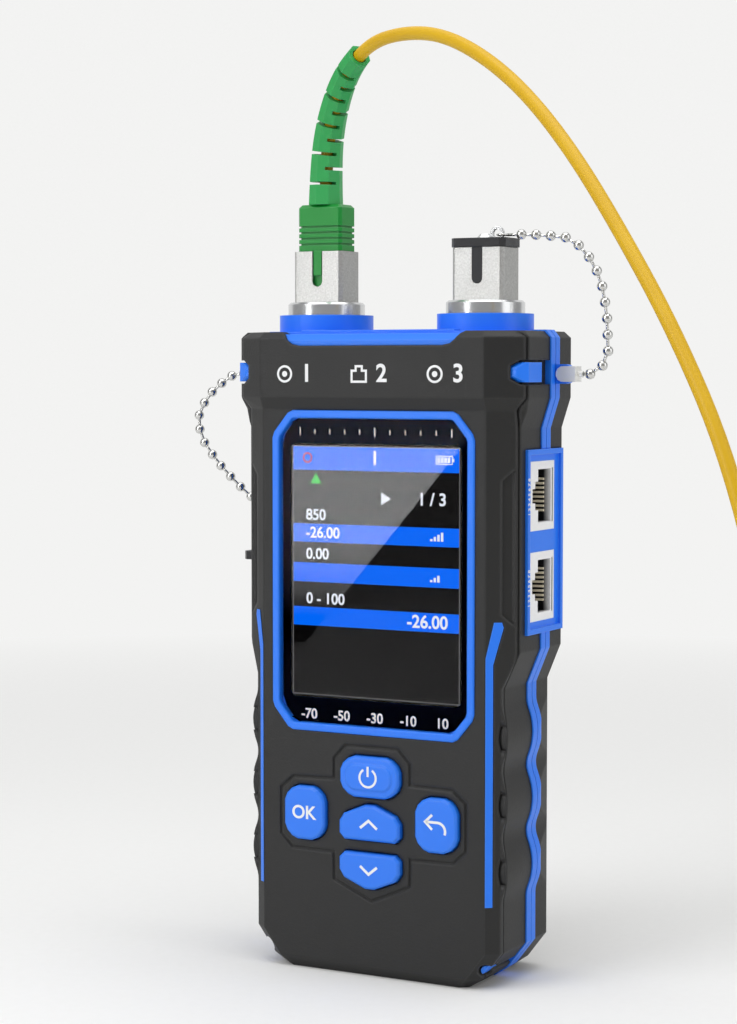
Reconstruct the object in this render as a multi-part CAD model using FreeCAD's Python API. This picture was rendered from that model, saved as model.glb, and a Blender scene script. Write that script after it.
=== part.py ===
import FreeCAD, Part
import math
import os

# Hand-held optical power meter and network tester, in millimetres.
# X is to the right of the front, Y to the back, Z up. The origin is the centre of its base.
V = FreeCAD.Vector

# ---------------------------------------------------------------- driving dimensions
# Housing: half width of its front flat, and how far its sides stand out from that at each level
front_half = 28.6
grip_flare = 2.9
waist_flare = 6.2
head_flare = 8.4
# Housing: depth, and how far the head stands out in front
front_y = -15.0
rear_y = 15.0
head_lift = 1.3
# Housing: how far back each front bevel reaches, and the rear bevel
grip_bevel = 2.2
waist_bevel = 4.6
head_bevel = 5.3
rear_bevel = 3.0
# Housing: heights
foot_top = 8.5
grip_top = 68.0
waist_bottom = 76.0
neck_bottom = 125.7
brow_bottom = 129.8
head_bottom = 132.6
head_top = 147.5
# Housing: chamfers at the foot and the crown
foot_in = 6.5
foot_edge = 1.6
foot_edge_h = 2.4
crown = 1.4
# Walls: black skin over the blue shells
skin = 1.6
wall = 1.8
# Blue seam round the housing, proud of the skin, and the line where the shells part
parting_y = 2.8
seam_width = 4.6
seam_proud = 0.35
parting_line = 0.3
parting_depth = 0.95
seam_bite = 0.5
# Groove between the front cover and the side band
groove_gap = 0.5
# Grip waves
wave_count = 3
wave_pitch = 15.1
wave_height = 1.5
wave_top = 64.7
wave_reach = 12.0
wave_fade = 4.0
hollow_share = 0.3
groove_wave = 1.5
# Display
window_z = 92.7
bezel_margin = 2.6
bezel_h = 73.9
bezel_rim = 1.75
bezel_corner_w = 4.6
bezel_corner_h = 5.6
bezel_proud = 0.45
glass_thick = 1.1
display_side = 4.4
display_h = 57.6
display_play = 0.5
display_corner = 1.0
window_soft = 0.45
glass_rest = 0.05
module_border = 2.6
module_thick = 3.2
# Keys
key_half = 7.6
power_low = 41.6
power_high = 51.0
power_cut_x = 2.7
power_cut_z = 2.4
key_soft = 0.9
arrow_soft = 1.3
side_key_x = 17.0
side_key_z = 36.75
side_key_w = 10.6
side_key_h = 12.4
side_key_cut = 2.5
arrow_half = 7.8
arrow_low = 31.7
arrow_gap = 2.9
arrow_shoulder = 5.5
arrow_point = 3.2
key_field = [
    # right half of the line round the keys, from the foot up, in (x, z)
    (0.0, 17.7), (9.8, 21.9), (9.9, 28.2), (20.8, 28.4), (23.9, 31.3), (23.9, 42.1), (20.6, 44.9),
    (9.8, 45.2), (9.8, 49.9), (6.8, 53.1),
]
tier_in = 1.6
tier_h = 0.4
key_proud = 1.5
key_gap = 0.3
key_travel = 0.7
key_flange = 0.45
key_flange_thick = 0.8
key_edge = 0.5
# Boards
board_thick = 1.6
# Ports on the top
port_in = 7.9
port_y = 1.0
plate_in = 4.5
plate_front = -12.7
plate_back = 12.3
plate_thick = 4.0
ridge_h = 0.4
ridge_d = 4.0
collar_r = 11.0
collar_h = 4.0
flange_r = 9.0
flange_h = 3.0
adapter_w = 12.9
adapter_d = 9.0
adapter_h = 11.9
adapter_wall = 0.85
adapter_floor = 1.6
keyway_w = 2.6
keyway_depth = 8.2
sleeve_r = 1.6
ferrule_r = 1.25
sleeve_h = 8.0
sleeve_play = 0.04
split = 0.3
plug_gap = 0.2
notch_half = 19.6
notch_depth = 3.2
notch_side = (
    # right end of the notch: out from its half width, and up from its floor
    (-1.3, 0.0), (0.7, 0.4), (2.0, 1.4), (2.9, 2.6), (4.0, 3.2),
)
# Network jacks
jack_w = 15.6
jack_d = 13.0
jack_len = 16.0
jack_mouth_w = 11.9
jack_mouth_d = 6.8
jack_latch_w = 6.4
jack_latch_d = 1.5
jack_depth = 13.0
mouth_wall = 1.9
light_side = 1.6
light_rim = 0.65
light_depth = 1.2
contact_reach = 2.0
contact_in = 1.6
contact_knee = 3.0
jack_z = (90.2, 110.6)
jack_y = 1.4
contact_count = 8
contact_pitch = 1.02
contact_w = 0.5
side_bezel_h = 41.4
side_bezel_d = 19.0
side_bezel_proud = 0.7
side_bezel_rim = 1.2
side_bezel_y = 1.95
jack_board_thick = 1.6
jack_board_rim = 2.0
# Chain lugs and tabs on the head
lug_z = 137.9
lug_h = 4.4
lug_reach = 4.6
lug_thick = 1.7
lug_hole_r = 0.85
clamp_h = 3.5
clamp_cheek = 0.5
clamp_gap = 0.35
clamp_neck = 1.2
neck_r = 0.7
bead_size = 2.4
right_knots = (
    # the laser port's chain: how far out from the head's side, and how far up its rise
    (8.3, 0.0), (11.3, 0.057), (12.8, 0.154), (12.8, 0.387), (12.1, 0.594), (10.2, 0.77),
    (7.3, 0.896), (3.6, 0.969), (-2.0, 0.991), (-7.4, 1.0),
)
left_knots = (
    # the power port's chain: out from the head's side, depth, and height over the lug
    (8.3, 3.8, 0.1), (12.6, 3.9, -0.7), (17.8, 4.0, -4.7), (21.0, 4.0, -8.7), (21.6, 4.1, -12.3),
    (20.2, 4.4, -16.5), (17.0, 5.2, -21.3), (12.4, 7.0, -26.7), (8.2, 9.6, -31.3),
    (5.4, 11.3, -35.1),
)
hung_out = 6.8
hung_y = 11.6
hung_down = 39.4
rise_start = 0.2
rise_end = 0.3
link_r = 0.35
# Reach of a block that keeps or cuts a whole side, and how far other cuts run past a face
beyond = 200.0
past = 5.0
# Bite of a rib or boss into the wall behind it
bite = 0.2
# Least step between two levels or two points that count as apart
least = 1e-6
# Sides of the prisms that stand for small round pieces
small_sides = 12
stem_sides = 16
bead_sides = 8
wire_sides = 6
socket_sides = 6
bead_levels = ((-0.92, 0.38), (-0.38, 0.92), (0.38, 0.92), (0.92, 0.38))
tab_z = 138.3
tab_h = 4.4
tab_front = -12.6
tab_back = -4.4
tab_cut = 1.2
tab_margin = 0.5
tab_depth = 1.0
tab_proud = 0.2
# Accent strips
strip_gap = 0.1
strip_lean = 1.9
strip_lean_foot = 0.8
strip_cut = 1.2
strip_tip = 0.3
strip_rise = 1.5
strip_bottom = 19.2
strip_turn = 73.5
strip_top = 83.0
strip_wide = 1.35
strip_thick = 1.2
strip_proud = 0.12
# Lead
cable_r = 1.5
lead_heading = -30.0
plug_w = 10.8
plug_d = 7.0
plug_grip_w = 11.6
plug_grip_d = 7.2
boot_base = 7.6
boot_tip = 5.2
lead_route = (
    # (along the lead's heading, height): the lead bends in one upright plane through its port
    (0.0, 177.3), (0.0, 187.5), (2.8, 198.0), (9.2, 207.2), (19.7, 212.7), (33.7, 213.4),
    (49.5, 211.2), (66.0, 204.6), (82.0, 195.0), (98.0, 181.6), (113.5, 165.3), (129.5, 146.8),
    (145.0, 124.5), (156.0, 98.0), (161.5, 70.0), (163.0, 43.0), (165.5, 23.0), (173.0, 9.4),
    (187.0, 4.6),
)
boot_len = 38.5
coil_mid_r = 18.0
coil_w = 9.6
coil_h = 6.6
# Inside
screw_places = ((24.6, 14.0), (11.6, 127.9))
post_boss_r = 2.6
screw_r = 1.25
screw_head_r = 2.3
screw_head_h = 1.5
head_sunk = 1.0
screw_bite = 1.0
screw_play = 0.15
head_play = 0.2
dome_h = 0.4
dome_r = 3.4
dome_sheet = 0.2
dome_margin = 5.5
dome_taper = 0.6
key_rest = 0.1
post_r = 2.0
board_play = 1.7
board_low = 8.6
board_high = 142.0
board_shoulder = 130.0
board_neck = 19.0
battery = (34.0, 7.2, 52.0)
battery_z = 20.0
buzzer_r = 6.0
buzzer_h = 5.0
buzzer_hole_r = 1.0
buzzer_x = -15.0
buzzer_z = 84.0
detector_r = 6.0
detector_len = 11.0
laser_r = 4.0
laser_len = 20.0
stem_r = 6.0
stem_play = 0.05
# Charging socket on the left side
socket_z = 96.0
socket_w = 9.2
socket_d = 3.4
socket_len = 7.6
socket_y = -3.4
socket_shell = 0.35
tongue_thick = 0.7
tongue_in = 1.2
tongue_margin = 1.4
leg_w = 1.0
leg_back = 1.4
# Small features of the housing
plate_corner = 3.0
bezel_depth = 1.4
channel_r = 1.75
channel_len = 6.0
tail_r = 0.95
channel_rim = 0.35
tail_rim = 0.25
filler_sunk = 0.55
channel_lead = 3.0
panel_z0 = 82.0
panel_z1 = 117.0
panel_slant = 2.6
panel_depth = 0.6
panel_y0 = 2.3
panel_y1 = 0.5
field_line = 0.7
field_depth = 0.45
rib_half = 20.0
rib_start = 40.0
rib_pitch = 6.0
rib_gap = 1.2
rib_count = 8
rib_depth = 0.7
# Small features of the lead and the caps
cap_plate_h = 2.0
cap_rest = 0.1
cap_insert = 7.4
cap_roof = 1.6
rivet_r = 2.2
rivet_h = 1.0
rivet_taper = 0.6
loop_r = 1.6
loop_band = 0.6
loop_thick = 0.8
loop_side = 3.0
loop_lift = 1.1
loop_high = 2.0
end_ring_r = 1.0
end_ring_band = 0.5
end_ring_thick = 0.5
bead_pitch = 3.5
pin_play = 0.05
flange_chamfer = 0.5
adapter_corner = 0.8
cavity_corner = 0.6
cap_lip = 0.3
cap_key_w = 2.5
cap_key_d = 1.5
plug_key_w = 2.1
plug_insert = 9.2
plug_len = 20.1
plug_mouth = 8.0
plug_nose = 1.0
plug_corner = 0.7
plug_groove = 0.45
plug_rib_pitch = 1.35
plug_ribs = 4
boot_slots = 10
boot_play = 0.25
slot_floor = -0.6
tube_sides = 8
bend_share = 0.45
boot_cut = 0.3
coil_sides = 32
coil_edge = 1.4
plug_shoulder = 0.1
plug_core = 2.0
plug_mouth_play = 0.6
key_sunk = 0.1
slot_w = 0.9
tail_r_out = 21.0
far_run = 23.0
tail_lift = 0.1
tail_knots = (
    # the lead's last stretch: out from the coil's side, along it, and up to the far boot's middle
    (-1.2, -7.0, 0.0), (0.0, 1.5, 0.0), (0.0, 9.5, 0.7), (0.0, 16.0, 2.2), (0.0, far_run, 2.2),
)

# ---------------------------------------------------------------- places worked out from them
grip_half = front_half + grip_flare
waist_half = front_half + waist_flare
head_half = front_half + head_flare
bezel_w = 2 * (front_half - bezel_margin)
display_w = bezel_w - 2 * display_side
port_x = front_half - port_in
plate_half = head_half - plate_in
board_half = grip_half - skin - wall - board_play
cover_in = front_y + skin
shell_in = cover_in + wall
module_back = shell_in + module_thick
board_front = module_back
board_back = board_front + board_thick
rear_in = rear_y - skin - wall
seam_front = parting_y - seam_width / 2
seam_back = parting_y + seam_width / 2
plate_top = head_top
plate_bottom = plate_top - plate_thick
collar_top = plate_top + collar_h
flange_top = collar_top + flange_h
adapter_top = flange_top + adapter_h
cavity_w = adapter_w - 2 * adapter_wall
cavity_d = adapter_d - 2 * adapter_wall
head_front = front_y - head_lift


# ---------------------------------------------------------------- small builders
def box(x0, x1, y0, y1, z0, z1):
    return Part.makeBox(x1 - x0, y1 - y0, z1 - z0, V(x0, y0, z0))


def tube(r, p, axis, length, bore=0.0):
    body = Part.makeCylinder(r, length, V(*p), V(*axis))
    return body.cut(Part.makeCylinder(bore, length, V(*p), V(*axis))) if bore else body


def polygon(points):
    return Part.makePolygon([V(*p) for p in points] + [V(*points[0])])


def prism(points, direction):
    """A straight prism on a closed outline."""
    return Part.Face(polygon(points)).extrude(V(*direction))


def front_prism(outline, y0, y1):
    """An outline drawn on the front (x, z), from depth y0 to y1."""
    return prism([(x, y0, z) for x, z in outline], (0, y1 - y0, 0))


def rounded(w, d, r, x, y, z):
    """A level rounded rectangle as a wire, w along X and d along Y."""
    edges = []
    corners = ((w / 2, -d / 2), (w / 2, d / 2), (-w / 2, d / 2), (-w / 2, -d / 2))
    previous = V(x + w / 2 - r, y - d / 2, z)
    for turn, (cx, cy) in enumerate(corners):
        centre = V(x + cx - math.copysign(r, cx), y + cy - math.copysign(r, cy), z)
        arc = [
            centre + V(r * math.cos(a), r * math.sin(a), 0)
            for a in (math.radians(90 * turn - 90 + step) for step in (0, 45, 90))
        ]
        if turn:
            edges.append(Part.LineSegment(previous, arc[0]).toShape())
        edges.append(Part.Arc(*arc).toShape())
        previous = arc[2]
    first = V(x + w / 2 - r, y - d / 2, z)
    edges.append(Part.LineSegment(previous, first).toShape())
    return Part.Wire(edges)


def pad(w, d, r, x, y, z0, z1):
    """An upright block with rounded corners."""
    return Part.Face(rounded(w, d, r, x, y, z0)).extrude(V(0, 0, z1 - z0))


def cut_corners(w, d, c, x, y, z):
    """A level rectangle with its corners cut off, as eight points."""
    a, b = w / 2, d / 2
    quarter = [(a, b - c), (a - c, b)]
    ring = quarter + [(-px, py) for px, py in reversed(quarter)]
    ring += [(-px, -py) for px, py in ring]
    return [(x + px, y + py, z) for px, py in ring]


def block(w, d, c, x, y, z0, z1):
    """An upright block with its corners cut off."""
    return prism(cut_corners(w, d, c, x, y, z0), (0, 0, z1 - z0))


def ring_points(centre, axis, r, sides):
    """The corners of a regular polygon round an axis, as far out as a circle of its area."""
    along = V(*axis)
    side = along.cross(V(0, 0, 1) if abs(along.z) < 0.5 * along.Length else V(0, 1, 0)).normalize()
    other = along.cross(side).normalize()
    turn = 2 * math.pi / sides
    reach = r * math.sqrt(turn / math.sin(turn))
    return [
        tuple(V(*centre) + side * (reach * math.cos(a)) + other * (reach * math.sin(a)))
        for a in (turn * (k + 0.5) for k in range(sides))
    ]


def bar(centre, axis, r, length, sides=small_sides):
    """A small round bar, as a prism."""
    along = V(*axis).normalize() * length
    return prism(ring_points(centre, axis, r, sides), tuple(along))


def mirrored(shape):
    return shape.mirror(V(0, 0, 0), V(1, 0, 0))


def both(shape):
    return shape.fuse(mirrored(shape))


def fuse(shapes):
    first, *rest = shapes
    return first.multiFuse(rest) if rest else first


def grown(outline, amount):
    """A closed outline with every side moved out by the same amount."""
    n = len(outline)
    area = sum(
        outline[i][0] * outline[(i + 1) % n][1] - outline[(i + 1) % n][0] * outline[i][1]
        for i in range(n)
    )
    side = amount if area > 0 else -amount
    lines = []
    for i in range(n):
        (x0, y0), (x1, y1) = outline[i], outline[(i + 1) % n]
        length = math.hypot(x1 - x0, y1 - y0)
        nx, ny = (y1 - y0) / length, (x0 - x1) / length
        lines.append((nx, ny, nx * x0 + ny * y0 + side))
    result = []
    for i in range(n):
        (a, b, c), (d, e, f) = lines[i - 1], lines[i]
        det = a * e - b * d
        result.append(((c * e - b * f) / det, (a * f - c * d) / det))
    return result


def softened(outline, reach):
    """A closed outline with each corner cut off by the same reach along both of its sides."""
    ring = []
    for i, (x, z) in enumerate(outline):
        for px, pz in (outline[i - 1], outline[(i + 1) % len(outline)]):
            share = reach / math.hypot(px - x, pz - z)
            ring.append((x + (px - x) * share, z + (pz - z) * share))
    return ring


def skinned(rings):
    """A closed solid through level rings of points: flat faces, in two triangles where a side twists."""
    faces = [Part.Face(polygon(rings[0])), Part.Face(polygon(rings[-1]))]
    for low, high in zip(rings, rings[1:]):
        for i in range(len(low)):
            j = (i + 1) % len(low)
            a, b, c, d = (V(*p) for p in (low[i], low[j], high[j], high[i]))
            normal = (b - a).cross(d - a)
            if abs(normal.dot(c - a)) < least * normal.Length:
                faces.append(Part.Face(Part.makePolygon([a, b, c, d, a])))
            else:
                faces.append(Part.Face(Part.makePolygon([a, b, d, a])))
                faces.append(Part.Face(Part.makePolygon([b, c, d, b])))
    solid = Part.Solid(Part.Shell(faces))
    if solid.Volume < 0:
        solid.reverse()
    return solid


# ---------------------------------------------------------------- housing forms
def outline_at(half, bevel, flat, front):
    """One level of the housing as eight points: its half width, front bevel and front plane."""
    right = [
        (flat, front), (half, front + bevel), (half, rear_y - rear_bevel),
        (half - rear_bevel, rear_y),
    ]
    return right + [(-x, y) for x, y in reversed(right)]


def hull(out=0.0):
    """The housing's whole form, its walls moved out by so much (or in, if negative)."""
    low = max(-out, 0.0)
    lean = foot_in / foot_top
    drawn_in = low * (math.hypot(1, lean) - 1)
    foot = grip_half - foot_in + lean * low - drawn_in
    edge = foot + lean * foot_edge_h
    bevel_w = grip_half - front_half
    brow = (brow_bottom - neck_bottom) / (head_bottom - neck_bottom)
    brow_half = waist_half + (head_half - waist_half) * brow
    levels = [
        # height, half width, bevel's depth, half width of the front flat, front plane, inset
        (low, foot, grip_bevel, foot - bevel_w, front_y, max(foot_edge - low, 0.0)),
        (low + foot_edge_h, edge, grip_bevel, edge - bevel_w, front_y, 0.0),
        (foot_top + drawn_in / lean, grip_half, grip_bevel, front_half, front_y, 0.0),
        (grip_top, grip_half, grip_bevel, front_half, front_y, 0.0),
        (waist_bottom, waist_half, waist_bevel, front_half, front_y, 0.0),
        (neck_bottom, waist_half, waist_bevel, front_half, front_y, 0.0),
        (brow_bottom, brow_half, head_bevel, front_half, front_y, 0.0),
        (head_bottom, head_half, head_bevel, front_half, head_front, 0.0),
        (head_top - crown + min(out, 0.0), head_half, head_bevel, front_half, head_front, 0.0),
        (head_top + out, head_half, head_bevel, front_half, head_front, max(crown - low, 0.0)),
    ]
    rings = []
    for z, half, bevel, flat, front, inset in levels:
        ring = grown(outline_at(half, bevel, flat, front), out - inset)
        rings.append([(x, y, z) for x, y in ring])
    return skinned(rings)


def wave_points(near, way=1):
    """Arc by arc, a wavy line down the grip, in (across, z); its swells go way from near."""
    half = wave_pitch / 2
    angle = 2 * math.atan(wave_height / half)
    far = near + way * wave_height
    arcs = []
    for k in range(wave_count):
        top = wave_top - k * wave_pitch
        crest, end = top - half, top - wave_pitch
        for z, share, start, first, last in (
            (top, hollow_share, near, 0.0, -angle), (crest, hollow_share - 1, far, angle, 0.0),
            (crest, hollow_share - 1, far, 0.0, -angle), (end, hollow_share, near, angle, 0.0),
        ):
            radius = half * share / math.sin(angle)
            arcs.append([
                (start + way * radius * (1 - math.cos(a)), z + abs(radius) * math.sin(a))
                for a in (first, (first + last) / 2, last)
            ])
    return arcs


def line_and_arcs(before, arcs, after, place):
    """A face whose outline runs through the points before, the arcs and the points after."""
    ring = [*before, arcs[0][0]]
    edges = [Part.LineSegment(place(*p), place(*q)).toShape() for p, q in zip(ring, ring[1:])]
    edges += [Part.Arc(*[place(*p) for p in arc]).toShape() for arc in arcs]
    ring = [arcs[-1][2], *after, before[0]]
    edges += [Part.LineSegment(place(*p), place(*q)).toShape() for p, q in zip(ring, ring[1:])]
    return Part.Face(Part.Wire(edges))


def waves(out):
    """The swells on the grip's right side, which fade out towards the rear."""
    arcs = wave_points(grip_half + out)
    x_in, near, far = grip_half - skin, grip_half + out, grip_half + wave_height + out
    y0, y1 = front_y + grip_bevel - out, wave_reach + out
    face = line_and_arcs([(x_in, arcs[0][0][1])], arcs, [(x_in, arcs[-1][2][1])],
                         lambda x, z: V(x, y0, z))
    fade = [(0, y0, 0), (far, y0, 0), (far, wave_fade, 0), (near, y1, 0), (0, y1, 0)]
    return face.extrude(V(0, y1 - y0, 0)).common(prism(fade, (0, 0, beyond)))


def groove_region(shift):
    """All in front of the groove, which follows the grip and steps back at waist and head."""
    grip, waist, head = front_y + grip_bevel, front_y + waist_bevel, head_front + head_bevel
    after = [(-beyond, -beyond), (-beyond, beyond)]
    before = [
        (head + shift, beyond), (head + shift, head_bottom), (waist + shift, neck_bottom),
        (waist + shift, waist_bottom), (grip + groove_wave + shift, grip_top),
    ]
    arcs = wave_points(grip + groove_wave + shift, -1)
    low = (grip + groove_wave + shift, -beyond)
    face = line_and_arcs(before, arcs, [low, *after], lambda y, z: V(-beyond, y, z))
    return face.extrude(V(2 * beyond, 0, 0))


def slab(y0, y1):
    """All that lies between two depths."""
    return box(-beyond, beyond, y0, y1, -beyond, beyond)


def accent_outline():
    """The right accent strip seen from the front: upright, with its top turned outwards."""
    x = front_half + strip_gap
    out = x + strip_wide
    return [
        (x, strip_bottom), (out, strip_bottom), (out, strip_turn),
        (out + strip_lean, strip_top - strip_cut), (out + strip_lean - strip_tip, strip_top),
        (x + strip_lean * strip_lean_foot, strip_top), (x, strip_turn + strip_rise),
    ]


def window_outline(w, h, corner_w, corner_h):
    a, b = w / 2, h / 2
    quarter = [(a - corner_w, b), (a, b - corner_h)]
    ring = quarter + [(x, -z) for x, z in reversed(quarter)]
    ring += [(-x, z) for x, z in reversed(ring)]
    return softened([(x, window_z + z) for x, z in ring], window_soft * corner_w)


def notch_outline():
    """The shallow notch in the head's top edge, with a soft turn at each end."""
    low = head_top - notch_depth
    side = [(notch_half + out, low + up) for out, up in notch_side]
    side.append((side[-1][0], head_top + past))
    return [(-x, z) for x, z in reversed(side)] + side


# ---------------------------------------------------------------- keys
def power_outline(out=0.0):
    a, b = key_half, key_half - power_cut_x
    low, high = power_low + power_cut_z, power_high - power_cut_z
    ring = [
        (-b, power_low), (b, power_low), (a, low), (a, high), (b, power_high), (-b, power_high),
        (-a, high), (-a, low),
    ]
    return grown(softened(ring, key_soft), out)


def side_key_outline(x, out=0.0):
    a, b, c = side_key_w / 2, side_key_h / 2, side_key_cut
    ring = [
        (a - c, b), (a, b - c), (a, c - b), (a - c, -b), (c - a, -b), (-a, c - b), (-a, b - c),
        (c - a, b),
    ]
    return grown(softened([(x + px, side_key_z + pz) for px, pz in ring], key_soft), out)


def up_outline(out=0.0):
    a, z = arrow_half, arrow_low + arrow_shoulder
    ring = [(-a, arrow_low), (a, arrow_low), (a, z), (0.0, z + arrow_point), (-a, z)]
    return grown(softened(ring, arrow_soft), out)


def down_outline(out=0.0):
    a, top = arrow_half, arrow_low - arrow_gap
    z = top - arrow_shoulder
    ring = [(-a, top), (-a, z), (0.0, z - arrow_point), (a, z), (a, top)]
    return grown(softened(ring, arrow_soft), out)


key_outlines = {
    "power_key": power_outline,
    "ok_key": lambda out=0.0: side_key_outline(-side_key_x, out),
    "back_key": lambda out=0.0: side_key_outline(side_key_x, out),
    "up_key": up_outline,
    "down_key": down_outline,
}


def key_centre(outline):
    points = outline()
    return (
        (min(x for x, _ in points) + max(x for x, _ in points)) / 2,
        (min(z for _, z in points) + max(z for _, z in points)) / 2,
    )


def key_cap(outline):
    """A cap with a softened crown, a flange behind the shell and a post that meets its dome."""
    front = front_y - key_proud
    flange = shell_in + key_gap
    body = front_prism(outline(), front + key_edge, flange)
    low = [(x, front + key_edge, z) for x, z in outline()]
    crown_ring = [(x, front, z) for x, z in outline(-key_edge)]
    body = body.fuse(skinned([low, crown_ring]))
    body = body.fuse(front_prism(outline(key_flange), flange, flange + key_flange_thick))
    x, z = key_centre(outline)
    reach = board_front - dome_h - key_travel - key_rest
    post_start = flange + key_flange_thick
    return body.fuse(bar((x, post_start, z), (0, 1, 0), post_r, reach - post_start))


def power_key():
    """The power key, with a second low tier on its crown."""
    front = front_y - key_proud
    low = [(x, front, z) for x, z in power_outline(-tier_in)]
    top = [(x, front - tier_h, z) for x, z in power_outline(-tier_in - tier_h)]
    return key_cap(power_outline).fuse(skinned([low, top]))


# ---------------------------------------------------------------- cut-outs shared by the layers
def port_plate_block(rise=0.0):
    return pad(
        2 * plate_half, plate_back - plate_front, plate_corner, 0,
        (plate_front + plate_back) / 2, plate_bottom, plate_top + rise
    )


def plate_tongue():
    """The plate's front tongue, which fills the notch in the front cover."""
    tongue = front_prism(notch_outline(), head_front - 1, plate_front + plate_corner)
    return tongue.common(box(-beyond, beyond, -beyond, beyond, plate_bottom, plate_top))


def top_opening():
    """What the port plate takes out of the skins and shells."""
    notch = front_prism(notch_outline(), head_front - past, plate_front + plate_corner)
    return fuse([port_plate_block(past), notch])


def key_openings(y0, y1, out):
    return fuse([front_prism(outline(out), y0, y1) for outline in key_outlines.values()])


def side_bezel_block(depth):
    """The side jacks' frame, let into the right side; depth is how far in it goes."""
    y = side_bezel_y
    z = sum(jack_z) / len(jack_z)
    half_d, half_h = side_bezel_d / 2, side_bezel_h / 2
    return box(waist_half - depth, waist_half + side_bezel_proud, y - half_d, y + half_d,
               z - half_h, z + half_h)


def side_jack_block(z):
    return box(waist_half - jack_len, waist_half + past, jack_y - jack_d / 2,
               jack_y + jack_d / 2, z - jack_w / 2, z + jack_w / 2)


def top_jack_block():
    return box(-jack_w / 2, jack_w / 2, board_back, board_back + jack_d,
               plate_top - jack_len, plate_top)


def socket_block():
    """The charging socket's outline, through the left side and inwards."""
    return box(-waist_half - past, -waist_half + socket_len, socket_y - socket_d / 2,
               socket_y + socket_d / 2, socket_z - socket_w / 2, socket_z + socket_w / 2)


def corner_channel(radius, tail):
    """The keyhole channel along the right foot chamfer: a round front end and a narrow tail."""
    x = grip_half - foot_in / 2
    z = foot_top / 2
    head = tube(radius, (x, front_y - channel_lead, z), (0, 1, 0), channel_len + channel_lead)
    rest = tube(tail, (x, front_y, z), (0, 1, 0), seam_front - front_y)
    return head.fuse(rest)


def tab_block(out, y0, y1):
    """The band that wraps the right corner of the head, its front corners cut."""
    half, cut = tab_h / 2 + out, tab_cut
    z0, z1 = tab_z - half, tab_z + half
    front, back = y0 - out, y1 + out
    ring = [(front, z0 + cut), (front + cut, z0), (back, z0), (back, z1), (front + cut, z1),
            (front, z1 - cut)]
    return prism([(head_half - past, y, z) for y, z in ring], (2 * past, 0, 0))


def at_screws(radius, y0, y1):
    """One level bar at each case screw, from depth y0 to y1."""
    return [
        bar((side * x, y0, z), (0, 1, 0), radius, y1 - y0)
        for side in (-1, 1) for x, z in screw_places
    ]


def screw_holes(radius, y0, y1):
    return fuse(at_screws(radius, y0, y1))


def screw_seat():
    """Where the case screws' heads rest, inside the rear shell's bosses."""
    return rear_in + head_sunk


def recess_panel():
    """The long shallow panel let into each waist bevel beside the groove."""
    z0, z1, slant = panel_z0, panel_z1, panel_slant
    y0, y1 = front_y + panel_y0, front_y + waist_bevel - panel_y1
    flank = prism(
        [(past, y0, z0 + slant), (past, y1, z0), (past, y1, z1), (past, y0, z1 - slant)],
        (beyond, 0, 0)
    )
    return both(flank.cut(hull(-panel_depth)))


# ---------------------------------------------------------------- housing pieces
def housing(out=0.0):
    return hull(out).fuse(both(waves(out)))


def seam(y0, y1):
    return housing(seam_proud).common(slab(y0, y1)).cut(hull(-skin - seam_bite))


def shell_cuts():
    """Openings through both blue shells."""
    return fuse([
        top_opening(), top_jack_block(), side_bezel_block(bezel_depth),
        *[side_jack_block(z) for z in jack_z], socket_block(),
    ])


def front_shell():
    blank = hull(-skin).cut(hull(-skin - wall)).fuse(seam(seam_front, parting_y))
    body = blank.common(slab(-beyond, parting_y))
    view = front_prism(
        window_outline(display_w + 2 * display_play, display_h + 2 * display_play,
                       display_corner, display_corner),
        front_y - past, shell_in + 1)
    body = body.cut(fuse([view, key_openings(front_y - past, shell_in + 1, key_gap), shell_cuts()]))
    filler = corner_channel(channel_r - channel_rim, tail_r - tail_rim).common(hull(-filler_sunk))
    filler = filler.cut(hull(-skin - seam_bite)).common(slab(-beyond, seam_front))
    body = body.fuse(both(filler))
    body = fuse([body, *at_screws(post_boss_r, shell_in, board_front)])
    holes = screw_holes(screw_r + screw_play, shell_in + screw_bite, parting_y)
    return body.cut(fuse([holes, parting_groove()]))


def parting_groove():
    """The fine line round the seam where the two shells meet."""
    line = slab(parting_y - parting_line / 2, parting_y + parting_line / 2)
    return line.cut(hull(seam_proud - parting_depth))


def lug(side):
    """The upright ear on the seam that a chain's clamp is pinned to."""
    x0, x1 = head_half - skin, head_half + lug_reach - lug_h / 2
    y = parting_y + parting_line / 2
    ear = box(x0, x1, y, y + lug_thick, lug_z - lug_h / 2, lug_z + lug_h / 2)
    ear = ear.fuse(tube(lug_h / 2, (x1, y, lug_z), (0, 1, 0), lug_thick))
    ear = ear.cut(tube(lug_hole_r, (x1, y - 1, lug_z), (0, 1, 0), lug_thick + 2))
    return ear if side > 0 else mirrored(ear)


def rear_shell():
    blank = hull(-skin).cut(hull(-skin - wall)).fuse(seam(parting_y, seam_back))
    body = blank.common(slab(parting_y, beyond))
    bosses = at_screws(post_boss_r, board_back, rear_in + bite)
    body = fuse([body, *bosses, lug(1), lug(-1)])
    body = body.cut(fuse([shell_cuts(), parting_groove()]))
    body = fuse([body, *jack_board_ribs()])
    shanks = screw_holes(screw_r + screw_play, board_back - 1, rear_y)
    return body.cut(fuse([shanks, screw_holes(screw_head_r + head_play, screw_seat(), rear_y)]))


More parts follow.
